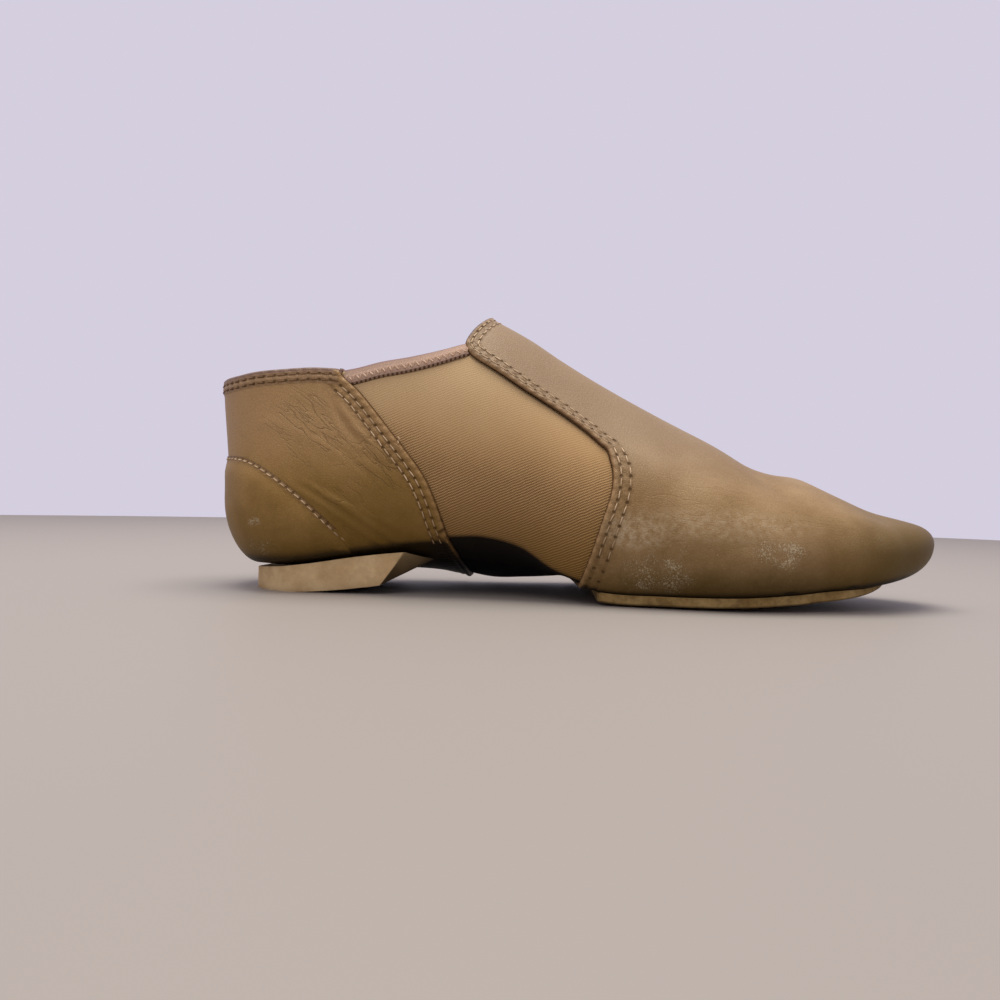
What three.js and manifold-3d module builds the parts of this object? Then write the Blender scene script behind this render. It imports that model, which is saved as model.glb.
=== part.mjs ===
// Slip-on jazz shoe for the left foot, heel at low X and toe at high X, +Z up, in millimetres.
// The origin is the middle of the shoe's footprint on the floor.
import * as THREE from 'three';
import { mergeVertices } from 'three/addons/utils/BufferGeometryUtils.js';
import Module from 'manifold-3d';

// Sizes of the whole shoe
const SHOE_LENGTH = 245;
const BALL_WIDTH = 84;
const INSTEP_HEIGHT = 96;

// Materials and gaps
const FABRIC_WALL = 1.8;
const LEATHER = 1.1;
const STRIP = 0.7;
const INSOLE_THICKNESS = 2.4;
const PATCH_THICKNESS = 3.0;
const CLEARANCE = 0.3;

// Folded strips round the opening
const COLLAR_BAND_HEIGHT = 4.6;
const BINDING_HEIGHT = 5.0;

// Forefoot sole patch, its place measured back from the toe's tip
const PATCH_LENGTH = 99.5;
const PATCH_TOE_MARGIN = 14.7;
const PATCH_OVERHANG = 1.6;
const PATCH_CORNER = 2.5;
const PATCH_FLAT = 0.3;

// Heel pad, its place measured forward from the heel's back
const PAD_BACK = 15.2;
const PAD_LENGTH = 69;
const PAD_WIDTH = 46;
const PAD_BACK_ROUND = 22;
const PAD_FRONT_ROUND = 28;
const PAD_FLAT_LENGTH = 24;
const PAD_NOSE_UP = 15;
const PAD_NOSE_FALL = 12.5;
const PAD_NOSE_DEPTH = 4.8;
const PAD_NOSE_TILT = 11;

// Openings under the sleeve and the insole's edge, measured in from the feather edge
const LASTING_MARGIN = 11;
const INSOLE_INSET = 1.5;

// Faces of the layers, measured outward from the sleeve's own face
const UNDER_LEATHER = CLEARANCE;
const LEATHER_FACE = UNDER_LEATHER + LEATHER;
const UNDER_COUNTER = LEATHER_FACE + CLEARANCE;
const COUNTER_FACE = UNDER_COUNTER + LEATHER;
const UNDER_PATCH = LEATHER_FACE + CLEARANCE;
const PATCH_FACE = UNDER_PATCH + PATCH_THICKNESS;
const UNDER_PAD = COUNTER_FACE + CLEARANCE;
const LINING_FACE = -FABRIC_WALL;
const INSOLE_UNDERSIDE = LINING_FACE - CLEARANCE;

// Height of the last's tread over the floor; the patch is pressed flat by PATCH_FLAT.
const TREAD = PATCH_FACE - PATCH_FLAT;

// Height over the floor that holds the whole underside.
const UNDERSIDE = 4 * TREAD;

// How far a share of 1 of the ball width reaches along the shoe in its round ends.
const END_REACH = 0.343 * SHOE_LENGTH;

// Run of a curve's handle that makes a quarter turn, and its rise at the feather edge
const QUARTER_TURN = 1.65;
const FEATHER_RISE = 0.12;

// Mesh fineness and the reach of cutting bodies
const FLOOR_ROWS = 2;
const EDGE_ROWS = 4;
const WALL_ROWS = 4;
const CROWN_ROWS = 4;
const HEEL_STEPS = 7;
const SIDE_STEPS = 15;
const TOE_STEPS = 7;
const LONG_SEAM_STEPS = 22;
const SHORT_SEAM_STEPS = 6;
const ROUND_STEPS = 6;
const WELD = 1e-4;
const REACH = 400;

// The last: one row per section, going round the sole from the back of the heel along the
// inner side to the toe and back along the outer side. Place is 0 at the heel's back, 1 and 5
// at the heel axis, 2 and 4 at the toe axis, 3 at the toe's tip, 6 at the heel's back again.
// Widths are shares of the ball width (featherOut and shoulderOut of the section's side),
// heights are shares of the instep height over the tread, and lean is degrees from upright.
const FULL_ROUND = 6;
const TOE_TIP = FULL_ROUND / 2;
const SECTION_COLUMNS = [
  'place', 'side', 'featherOut', 'featherUp', 'sideUp', 'shoulderOut', 'shoulderUp', 'lean',
];
const SECTIONS = table(SECTION_COLUMNS, [
  [0.000, 0.330, 0.632, 0.052, 0.298, 1.119, 0.673, -3],
  [0.500, 0.333, 0.696, 0.061, 0.256, 0.986, 0.683, 2],
  [1.000, 0.336, 0.762, 0.075, 0.235, 0.858, 0.704, 7],
  [1.105, 0.336, 0.780, 0.106, 0.246, 0.858, 0.715, 9],
  [1.211, 0.343, 0.799, 0.135, 0.288, 0.819, 0.756, 16],
  [1.304, 0.360, 0.811, 0.150, 0.340, 0.695, 0.803, 30],
  [1.368, 0.374, 0.812, 0.152, 0.350, 0.637, 0.787, 38],
  [1.439, 0.390, 0.808, 0.119, 0.308, 0.625, 0.704, 44],
  [1.503, 0.407, 0.833, 0.052, 0.246, 0.629, 0.616, 47],
  [1.585, 0.433, 0.865, 0.010, 0.173, 0.646, 0.517, 50],
  [1.684, 0.455, 0.885, 0.006, 0.131, 0.694, 0.428, 52],
  [1.819, 0.468, 0.885, 0.010, 0.110, 0.700, 0.340, 54],
  [1.924, 0.426, 0.877, 0.023, 0.116, 0.698, 0.298, 56],
  [2.000, 0.377, 0.861, 0.037, 0.131, 0.741, 0.272, 58],
  [2.500, 0.375, 0.794, 0.054, 0.152, 0.810, 0.242, 62],
  [3.000, 0.463, 0.681, 0.065, 0.173, 0.810, 0.242, 66],
  [3.500, 0.396, 0.781, 0.054, 0.147, 0.826, 0.229, 62],
  [4.000, 0.433, 0.857, 0.037, 0.116, 0.714, 0.241, 58],
  [4.076, 0.469, 0.873, 0.023, 0.100, 0.711, 0.267, 56],
  [4.181, 0.500, 0.881, 0.010, 0.095, 0.714, 0.308, 54],
  [4.316, 0.517, 0.885, 0.004, 0.100, 0.668, 0.392, 52],
  [4.415, 0.495, 0.875, 0.000, 0.110, 0.625, 0.485, 50],
  [4.497, 0.467, 0.852, -0.013, 0.131, 0.599, 0.584, 47],
  [4.561, 0.440, 0.838, -0.019, 0.152, 0.595, 0.673, 44],
  [4.632, 0.417, 0.829, -0.021, 0.173, 0.600, 0.767, 38],
  [4.696, 0.395, 0.819, 0.000, 0.194, 0.651, 0.793, 30],
  [4.789, 0.371, 0.808, 0.037, 0.204, 0.763, 0.751, 16],
  [4.895, 0.352, 0.797, 0.058, 0.215, 0.824, 0.715, 9],
  [5.000, 0.343, 0.771, 0.065, 0.225, 0.847, 0.704, 7],
  [5.500, 0.336, 0.709, 0.058, 0.246, 0.979, 0.683, 2],
]);

// Run along the sole's edge from place to place, as shares of the side's run.
const HEEL_RUN = 0.26;
const TOE_RUN = 0.33;

// The middle line of the last from the heel axis to the toe axis: along as a share of the
// length, aside of the ball width, the floor under the foot and the ridge over it.
const MIDDLE_COLUMNS = ['along', 'aside', 'floor', 'ridge'];
const MIDDLE = table(MIDDLE_COLUMNS, [
  [0.131, 0.000, 0.044, 0.923],
  [0.204, 0.000, 0.046, 0.985],
  [0.278, 0.000, 0.052, 1.006],
  [0.343, 0.000, 0.062, 0.981],
  [0.388, 0.000, 0.058, 0.923],
  [0.437, -0.002, 0.040, 0.856],
  [0.482, -0.007, 0.021, 0.781],
  [0.539, -0.014, 0.004, 0.694],
  [0.608, -0.024, 0.000, 0.598],
  [0.682, -0.036, 0.000, 0.502],
  [0.735, -0.044, 0.004, 0.431],
  [0.776, -0.051, 0.011, 0.391],
  [0.829, -0.060, 0.025, 0.350],
]);

// Seams and edges in side view: along as a share of the length, up as a share of the instep
// height over the tread.
const SEAM_COLUMNS = ['along', 'up'];
const COLLAR_LINE = table(SEAM_COLUMNS, [
  [-0.024, 0.679],
  [0.008, 0.685],
  [0.041, 0.690],
  [0.073, 0.699],
  [0.110, 0.704],
  [0.147, 0.707],
  [0.176, 0.702],
  [0.202, 0.700],
  [0.242, 0.731],
  [0.281, 0.758],
  [0.320, 0.784],
  [0.350, 0.810],
]);
const TONGUE_LINE = table(SEAM_COLUMNS, [
  [0.350, 0.810],
  [0.364, 0.892],
  [0.383, 0.956],
  [0.398, 1.006],
]);
const QUARTER_FRONT = table(SEAM_COLUMNS, [
  [0.184, 0.746],
  [0.193, 0.694],
  [0.218, 0.639],
  [0.260, 0.511],
  [0.302, 0.380],
  [0.319, 0.298],
  [0.331, 0.216],
  [0.342, 0.132],
  [0.351, 0.037],
  [0.357, -0.067],
]);
const COUNTER_TOP = table(SEAM_COLUMNS, [
  [-0.024, 0.419],
  [0.006, 0.418],
  [0.051, 0.411],
  [0.082, 0.386],
  [0.112, 0.343],
  [0.142, 0.290],
  [0.171, 0.225],
  [0.198, 0.160],
  [0.222, 0.100],
  [0.245, 0.037],
  [0.265, -0.067],
]);
const VAMP_BACK = table(SEAM_COLUMNS, [
  [0.345, 0.850],
  [0.361, 0.780],
  [0.401, 0.716],
  [0.441, 0.649],
  [0.481, 0.589],
  [0.519, 0.518],
  [0.538, 0.469],
  [0.548, 0.408],
  [0.547, 0.328],
  [0.533, 0.217],
  [0.522, 0.120],
  [0.509, 0.019],
  [0.500, -0.067],
]);

const RUNS = [HEEL_RUN, 1, TOE_RUN, TOE_RUN, 1, HEEL_RUN];
SECTIONS.forEach((row) => {
  row.run = runTo(row.place);
});

const HEEL_AXIS = MIDDLE[0].along;
const TOE_AXIS = MIDDLE[MIDDLE.length - 1].along;

const wasm = await Module();
wasm.setup();

function table(columns, rows) {
  return rows.map((row) => Object.fromEntries(columns.map((name, i) => [name, row[i]])));
}

// Run along the sole's edge from the heel's back to a place.
function runTo(place) {
  return RUNS.reduce((sum, run, i) => sum + run * THREE.MathUtils.clamp(place - i, 0, 1), 0);
}

// A column of the sections at a place, smooth right round the sole.
function sectionColumn(name, place) {
  return columnAt(SECTIONS, 'run', name, runTo(place), runTo(FULL_ROUND));
}

// Smooth value of one column at a place, through every row of a table.
function columnAt(rows, key, name, place, loop = 0) {
  const count = rows.length;
  const row = (i) => {
    if (!loop) {
      return rows[Math.min(Math.max(i, 0), count - 1)];
    }
    return rows[((i % count) + count) % count];
  };
  const keyAt = (i) => row(i)[key] + (loop ? Math.floor(i / count) * loop : 0);
  let i = 0;
  while (i < count - (loop ? 1 : 2) && keyAt(i + 1) <= place) {
    i += 1;
  }
  const slope = (j) => {
    const run = keyAt(j + 1) - keyAt(j - 1);
    return run > 0 ? (row(j + 1)[name] - row(j - 1)[name]) / run : 0;
  };
  const span = keyAt(i + 1) - keyAt(i);
  const share = THREE.MathUtils.clamp((place - keyAt(i)) / span, 0, 1);
  return hermite(row(i)[name], row(i + 1)[name], slope(i) * span, slope(i + 1) * span, share);
}

function hermite(start, end, leave, arrive, share) {
  const square = share * share;
  const cube = square * share;
  return start * (2 * cube - 3 * square + 1) + end * (3 * square - 2 * cube)
    + leave * (cube - 2 * square + share) + arrive * (cube - square);
}

function curve(start, end, leave, arrive, share) {
  return new THREE.Vector2(
    hermite(start.x, end.x, leave.x, arrive.x, share),
    hermite(start.y, end.y, leave.y, arrive.y, share),
  );
}

// One upright half section of the last at a place round the sole.
function sectionAt(place) {
  const read = (name) => sectionColumn(name, place);
  const inner = place <= TOE_TIP;
  const travel = inner ? place : FULL_ROUND - place;
  const handed = inner ? -1 : 1;
  const along = THREE.MathUtils.lerp(
    HEEL_AXIS, TOE_AXIS, THREE.MathUtils.clamp(travel - 1, 0, 1),
  );
  let turn = 0;
  if (travel < 1) {
    turn = (travel - 1) * Math.PI / 2;
  } else if (travel > 2) {
    turn = (travel - 2) * Math.PI / 2;
  }
  const middle = (name) => columnAt(MIDDLE, 'along', name, along);
  const side = read('side') * BALL_WIDTH;
  const level = (share) => TREAD + share * INSTEP_HEIGHT;
  return {
    along,
    travel,
    base: new THREE.Vector2(along * SHOE_LENGTH, middle('aside') * BALL_WIDTH),
    heading: new THREE.Vector2(
      Math.sin(turn) * END_REACH / BALL_WIDTH, handed * Math.cos(turn),
    ),
    floor: new THREE.Vector2(0, level(middle('floor'))),
    feather: new THREE.Vector2(read('featherOut') * side, level(read('featherUp'))),
    side: new THREE.Vector2(side, level(read('sideUp'))),
    shoulder: new THREE.Vector2(read('shoulderOut') * side, level(read('shoulderUp'))),
    ridge: new THREE.Vector2(0, level(middle('ridge'))),
    lean: THREE.MathUtils.degToRad(read('lean')),
  };
}

// Slopes of the middle line where a section leaves it.
function middleSlope(section, name) {
  const step = 0.01;
  const ahead = columnAt(MIDDLE, 'along', name, section.along);
  const behind = columnAt(MIDDLE, 'along', name, section.along - step);
  const slope = (ahead - behind) * INSTEP_HEIGHT / (step * SHOE_LENGTH);
  return section.travel > 2 ? slope * section.heading.x : 0;
}

// How the floor under the foot tilts across from the inner to the outer side.
function floorTilt(section) {
  const travel = THREE.MathUtils.clamp(section.travel, 1, 2);
  const width = (place) => (
    sectionColumn('side', place) * sectionColumn('featherOut', place) * BALL_WIDTH
  );
  const height = (place) => sectionColumn('featherUp', place) * INSTEP_HEIGHT;
  const across = FULL_ROUND - travel;
  const tilt = (height(across) - height(travel)) / (width(travel) + width(across));
  return tilt * section.heading.y;
}

// Points of a half section from the middle of the floor out, up and over to the ridge.
function sectionPoints(section) {
  const { floor, feather, side, shoulder, ridge, lean } = section;
  const points = [];
  const slope = floorTilt(section) + middleSlope(section, 'floor');
  for (let i = 0; i < FLOOR_ROWS; i += 1) {
    const share = i / FLOOR_ROWS;
    const rest = feather.y - floor.y - slope * feather.x;
    const up = floor.y + slope * feather.x * share + rest * share * share;
    points.push(new THREE.Vector2(feather.x * share, up));
  }
  const out = side.clone().sub(feather).multiplyScalar(QUARTER_TURN);
  const leave = new THREE.Vector2(out.x, out.x * FEATHER_RISE);
  const arrive = new THREE.Vector2(0, out.y);
  for (let i = 0; i < EDGE_ROWS; i += 1) {
    points.push(curve(feather, side, leave, arrive, i / EDGE_ROWS));
  }
  const lie = new THREE.Vector2(-Math.sin(lean), Math.cos(lean));
  const wall = shoulder.distanceTo(side);
  const upright = new THREE.Vector2(0, wall);
  const meet = lie.clone().multiplyScalar(wall);
  for (let i = 0; i < WALL_ROWS; i += 1) {
    points.push(curve(side, shoulder, upright, meet, i / WALL_ROWS));
  }
  const crown = ridge.distanceTo(shoulder);
  const part = lie.clone().multiplyScalar(crown);
  const over = new THREE.Vector2(-1, -middleSlope(section, 'ridge')).multiplyScalar(crown);
  for (let i = 0; i <= CROWN_ROWS; i += 1) {
    points.push(curve(shoulder, ridge, part, over, i / CROWN_ROWS));
  }
  return points;
}

// Places of the sections round the whole last: fine in the round ends, coarser at the sides.
function ringPlaces() {
  const steps = [HEEL_STEPS, SIDE_STEPS, TOE_STEPS, TOE_STEPS, SIDE_STEPS, HEEL_STEPS];
  return steps.flatMap((count, from) => (
    Array.from({ length: count }, (_, i) => from + i / count)
  ));
}

// The closed surface of the last, as a welded geometry.
function lastSurface() {
  const rings = ringPlaces().map((place) => {
    const section = sectionAt(place);
    return sectionPoints(section).map((point) => new THREE.Vector3(
      section.base.x + section.heading.x * point.x,
      section.base.y + section.heading.y * point.x,
      point.y,
    ));
  });
  const rows = rings[0].length;
  const positions = rings.flat().flatMap((point) => [point.x, point.y, point.z]);
  const index = [];
  rings.forEach((ring, i) => {
    const next = (i + 1) % rings.length;
    for (let j = 0; j < rows - 1; j += 1) {
      const a = i * rows + j;
      const b = next * rows + j;
      index.push(a, b, b + 1, a, b + 1, a + 1);
    }
  });
  const geometry = new THREE.BufferGeometry();
  geometry.setAttribute('position', new THREE.Float32BufferAttribute(positions, 3));
  geometry.setIndex(index);
  return weld(geometry);
}

// Joins equal corners and drops the faces that shrink to a line.
function weld(geometry) {
  geometry.deleteAttribute('normal');
  geometry.deleteAttribute('uv');
  const joined = mergeVertices(geometry, WELD);
  const index = joined.index.array;
  const kept = [];
  for (let i = 0; i < index.length; i += 3) {
    const [a, b, c] = [index[i], index[i + 1], index[i + 2]];
    if (a !== b && b !== c && c !== a) {
      kept.push(a, b, c);
    }
  }
  joined.setIndex(kept);
  return joined;
}

const LAST = lastSurface();
LAST.computeVertexNormals();

function solidOf(geometry) {
  const mesh = new wasm.Mesh({
    numProp: 3,
    vertProperties: new Float32Array(geometry.attributes.position.array),
    triVerts: new Uint32Array(geometry.index.array),
  });
  return new wasm.Manifold(mesh);
}

// The last grown outward by a distance along its own normals, and lifted if asked.
function form(distance, lift = 0) {
  const grown = LAST.clone();
  const position = grown.attributes.position;
  const normal = grown.attributes.normal;
  for (let i = 0; i < position.count; i += 1) {
    position.setXYZ(
      i,
      position.getX(i) + normal.getX(i) * distance,
      position.getY(i) + normal.getY(i) * distance,
      position.getZ(i) + normal.getZ(i) * distance + lift,
    );
  }
  return solidOf(grown);
}

const shell = (outer, inner) => form(outer).subtract(form(inner));

function seamPoints(line) {
  return line.map((row) => new THREE.Vector2(
    row.along * SHOE_LENGTH, TREAD + row.up * INSTEP_HEIGHT,
  ));
}

function smoothSeam(line, steps) {
  return new THREE.SplineCurve(seamPoints(line)).getPoints(steps);
}

// A side-view region pushed right through the shoe from one side to the other, and tilted
// about a line along the floor at a distance aside.
function sideRegion(points, tilt = 0, aside = 0) {
  const geometry = new THREE.ExtrudeGeometry(new THREE.Shape(points), {
    depth: REACH, bevelEnabled: false,
  });
  geometry.translate(0, 0, -REACH / 2);
  geometry.rotateX(Math.PI / 2);
  geometry.translate(0, -aside, 0);
  geometry.rotateX(THREE.MathUtils.degToRad(tilt));
  geometry.translate(0, aside, 0);
  return solidOf(weld(geometry));
}

// A plan outline pushed up from the floor through the underside.
function underRegion(points, height = UNDERSIDE) {
  const geometry = new THREE.ExtrudeGeometry(new THREE.Shape(points), {
    depth: height, bevelEnabled: false,
  });
  return solidOf(weld(geometry));
}

function shifted(points, x, y) {
  return points.map((point) => new THREE.Vector2(point.x + x, point.y + y));
}

// The top line of the opening from behind the heel to above the tongue, moved in by a depth.
function topLine(depth) {
  const collar = smoothSeam(COLLAR_LINE, LONG_SEAM_STEPS);
  const tongue = smoothSeam(TONGUE_LINE, SHORT_SEAM_STEPS).slice(1);
  const rise = tongue[tongue.length - 1].clone().sub(tongue[0]).normalize();
  return [
    ...shifted(collar, 0, -depth),
    ...shifted(tongue, depth * rise.y, -depth * rise.x),
  ];
}

// Closes a seam line into a region that takes in all behind, above or below it.
function closedBy(points, ...corners) {
  return sideRegion([...points, ...corners.map(([x, y]) => new THREE.Vector2(x, y))]);
}

function aboveTopLine(depth) {
  const line = topLine(depth);
  return closedBy(line, [line[line.length - 1].x, REACH], [-REACH, REACH], [-REACH, line[0].y]);
}

function behindQuarterFront(gap) {
  const line = shifted(smoothSeam(QUARTER_FRONT, LONG_SEAM_STEPS), gap, 0);
  return closedBy(line, [line[line.length - 1].x, -REACH], [-REACH, -REACH], [-REACH, REACH],
    [line[0].x, REACH]);
}

function aheadOfVampBack(gap) {
  const line = shifted(smoothSeam(VAMP_BACK, LONG_SEAM_STEPS), -gap, 0);
  return closedBy(line, [line[line.length - 1].x, -REACH], [REACH, -REACH], [REACH, REACH],
    [line[0].x, REACH]);
}

function belowCounterTop() {
  const line = smoothSeam(COUNTER_TOP, LONG_SEAM_STEPS);
  return closedBy(line, [line[line.length - 1].x, -REACH], [-REACH, -REACH],
    [-REACH, line[0].y]);
}

// All of the shoe that lies between two distances from the heel's back.
function between(from, to) {
  return closedBy([], [from, -REACH], [to, -REACH], [to, REACH], [from, REACH]);
}

// Plan outline that follows the feather edge between two distances from the heel's back,
// moved out by a distance, or in by a negative one.
function featherOutline(from, to, out) {
  const inner = [];
  const outer = [];
  ringPlaces().forEach((place) => {
    const section = sectionAt(place);
    const point = section.base.clone();
    point.addScaledVector(section.heading, section.feather.x + out);
    if (point.x > from && point.x < to) {
      (place <= TOE_TIP ? inner : outer).push(point);
    }
  });
  return [...inner, ...outer];
}

function forefootOutline(out) {
  const front = SHOE_LENGTH - PATCH_TOE_MARGIN;
  const back = front - PATCH_LENGTH - Math.min(out, 0);
  const edge = featherOutline(back + PATCH_CORNER, front, out);
  const inner = edge[0];
  const outer = edge[edge.length - 1];
  return [
    new THREE.Vector2(back + PATCH_CORNER / 2, outer.y),
    new THREE.Vector2(back, outer.y - PATCH_CORNER),
    new THREE.Vector2(back, inner.y + PATCH_CORNER),
    new THREE.Vector2(back + PATCH_CORNER / 2, inner.y),
    ...edge,
  ];
}

// Plan of the heel pad: round at the back, straight at the sides and round at the front.
function padOutline(out) {
  const half = PAD_WIDTH / 2 + out;
  const backAxis = PAD_BACK + PAD_BACK_ROUND;
  const frontAxis = PAD_BACK + PAD_LENGTH - PAD_FRONT_ROUND;
  const shape = new THREE.Shape();
  shape.absellipse(frontAxis, 0, PAD_FRONT_ROUND + out, half, -Math.PI / 2, Math.PI / 2);
  shape.absellipse(backAxis, 0, PAD_BACK_ROUND + out, half, Math.PI / 2, Math.PI * 1.5);
  return shape.extractPoints(ROUND_STEPS).shape;
}

function lastingOpenings() {
  return underRegion(forefootOutline(-LASTING_MARGIN)).add(underRegion(padOutline(-LASTING_MARGIN)));
}

function makeUpper() {
  return shell(0, LINING_FACE)
    .subtract(aboveTopLine(STRIP + CLEARANCE))
    .subtract(lastingOpenings());
}

function makeVamp() {
  return shell(LEATHER_FACE, UNDER_LEATHER)
    .intersect(aheadOfVampBack(0))
    .subtract(aboveTopLine(0))
    .subtract(lastingOpenings());
}

function makeQuarter() {
  return shell(LEATHER_FACE, UNDER_LEATHER)
    .intersect(behindQuarterFront(0))
    .subtract(aboveTopLine(STRIP + CLEARANCE))
    .subtract(lastingOpenings());
}

function makeCounter() {
  return shell(COUNTER_FACE, UNDER_COUNTER)
    .intersect(belowCounterTop())
    .subtract(lastingOpenings());
}

// A strip folded over the rim, down the outside of a face and down the lining.
function foldedStrip(face, height) {
  const inside = LINING_FACE - CLEARANCE;
  const outside = face + CLEARANCE;
  const held = shell(outside, inside).subtract(aboveTopLine(STRIP));
  return shell(outside + STRIP, inside - STRIP)
    .subtract(aboveTopLine(0))
    .intersect(aboveTopLine(height))
    .subtract(held);
}

// The quarter's front corner at the top line, where the collar band meets the bindings.
function bandEnd() {
  return smoothSeam(QUARTER_FRONT, LONG_SEAM_STEPS)[2].x;
}

function makeCollarBand() {
  return foldedStrip(LEATHER_FACE, COLLAR_BAND_HEIGHT).intersect(between(-REACH, bandEnd()));
}

function makeBinding(handed) {
  const tongue = TONGUE_LINE[0].along * SHOE_LENGTH;
  const side = new THREE.BoxGeometry(REACH, REACH, REACH);
  side.translate(0, handed * REACH / 2, 0);
  return foldedStrip(0, BINDING_HEIGHT)
    .intersect(between(bandEnd() + CLEARANCE, tongue - CLEARANCE))
    .subtract(behindQuarterFront(CLEARANCE))
    .subtract(aheadOfVampBack(CLEARANCE))
    .intersect(solidOf(weld(side)));
}

function makeForefootSole() {
  return form(PATCH_FACE)
    .intersect(underRegion(forefootOutline(PATCH_OVERHANG)))
    .subtract(form(UNDER_PATCH));
}

function makeHeelPad() {
  const flatEnd = PAD_BACK + PAD_FLAT_LENGTH;
  const front = PAD_BACK + PAD_LENGTH;
  const nose = PAD_NOSE_UP - PAD_NOSE_FALL;
  const profile = new THREE.Shape();
  profile.moveTo(0, 0);
  profile.lineTo(flatEnd, 0);
  profile.quadraticCurveTo(front - PAD_NOSE_DEPTH, nose, front, PAD_NOSE_UP);
  profile.lineTo(front, REACH);
  profile.lineTo(0, REACH);
  return sideRegion(profile.extractPoints(ROUND_STEPS).shape, -PAD_NOSE_TILT, -PAD_WIDTH / 2)
    .intersect(underRegion(padOutline(0)))
    .subtract(form(UNDER_PAD));
}

function makeInsole() {
  return form(INSOLE_UNDERSIDE)
    .subtract(form(INSOLE_UNDERSIDE, INSOLE_THICKNESS))
    .intersect(underRegion(featherOutline(0, SHOE_LENGTH, -INSOLE_INSET), INSTEP_HEIGHT / 2));
}

function finish(color, roughness) {
  return new THREE.MeshStandardMaterial({ color, roughness, metalness: 0 });
}

function meshOf(name, solid, material) {
  const made = solid.getMesh();
  const geometry = new THREE.BufferGeometry();
  geometry.setAttribute('position', new THREE.BufferAttribute(made.vertProperties, 3));
  geometry.setIndex(new THREE.BufferAttribute(made.triVerts, 1));
  const mesh = new THREE.Mesh(geometry, material);
  mesh.name = name;
  return mesh;
}

function makeShoe() {
  const shoe = new THREE.Group();
  shoe.add(
    meshOf('upper', makeUpper(), finish(0xa9834f, 0.85)),
    meshOf('vamp', makeVamp(), finish(0x9a7446, 0.6)),
    meshOf('heel_quarter', makeQuarter(), finish(0x98713f, 0.6)),
    meshOf('heel_counter', makeCounter(), finish(0x94703f, 0.6)),
    meshOf('heel_collar_band', makeCollarBand(), finish(0xa07a4a, 0.6)),
    meshOf('collar_binding_medial', makeBinding(-1), finish(0xc7a07c, 0.9)),
    meshOf('collar_binding_lateral', makeBinding(1), finish(0xc7a07c, 0.9)),
    meshOf('outsole_forefoot', makeForefootSole(), finish(0xb7a07c, 0.9)),
    meshOf('outsole_heel', makeHeelPad(), finish(0xc2a585, 0.9)),
    meshOf('insole', makeInsole(), finish(0xb08a5c, 0.8)),
  );
  return shoe;
}

// Stands the shoe on the floor with the middle of its footprint at the origin.
function centred(shoe) {
  const box = new THREE.Box3().setFromObject(shoe);
  const middle = box.getCenter(new THREE.Vector3());
  shoe.position.set(-middle.x, -middle.y, -box.min.z);
  const part = new THREE.Group();
  part.name = 'jazz_shoe';
  part.add(shoe);
  return part;
}

export default centred(makeShoe());
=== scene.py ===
"""Looks of a slip-on split-sole jazz shoe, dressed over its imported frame.

All is in metres in the frame's own axes: heel at low X, toe at high X, floor at Z = 0. The last
is drawn from shares of the same named sizes as the solids, and each panel is a grid laid on it
between its own seams.
"""
import logging
import math
from dataclasses import dataclass, field
from enum import Enum
from typing import Callable, Sequence

import bmesh
import bpy
import numpy as np
from mathutils import Matrix, Vector
from mathutils.bvhtree import BVHTree
from mathutils.kdtree import KDTree


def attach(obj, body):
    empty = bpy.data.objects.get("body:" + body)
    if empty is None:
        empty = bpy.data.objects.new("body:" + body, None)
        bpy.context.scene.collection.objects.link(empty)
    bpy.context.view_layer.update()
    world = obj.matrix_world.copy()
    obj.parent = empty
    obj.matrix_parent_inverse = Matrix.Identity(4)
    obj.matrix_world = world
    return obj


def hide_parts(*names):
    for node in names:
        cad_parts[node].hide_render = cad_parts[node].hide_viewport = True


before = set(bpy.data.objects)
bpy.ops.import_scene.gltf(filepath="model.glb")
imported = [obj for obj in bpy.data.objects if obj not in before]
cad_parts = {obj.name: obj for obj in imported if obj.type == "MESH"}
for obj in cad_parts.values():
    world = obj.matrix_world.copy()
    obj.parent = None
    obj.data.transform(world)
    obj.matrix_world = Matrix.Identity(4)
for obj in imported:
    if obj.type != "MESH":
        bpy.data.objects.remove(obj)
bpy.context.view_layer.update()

BODY = "root"
LOG = logging.getLogger("jazz_shoe")

MM = 0.001
TOE_TIP = 3.0
FULL_ROUND = 6.0
RIDGE = 4.0
GIRTH = 8.0
QUARTER_TURN = 1.65
FEATHER_RISE = 0.12
WELD = 2e-6
SEAM_STEP = 0.25 * MM
TRAVEL_STEPS = 360
STEPS_PER_ROW = 80
ROUND_STEPS = int(GIRTH) * STEPS_PER_ROW
BEFORE_SEAMS = 110  # the travels behind these are at the heel, where no front seam passes
DOWN = Vector((0, 0, -1))
RUNS = (0.26, 1.0, 0.33, 0.33, 1.0, 0.26)

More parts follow.
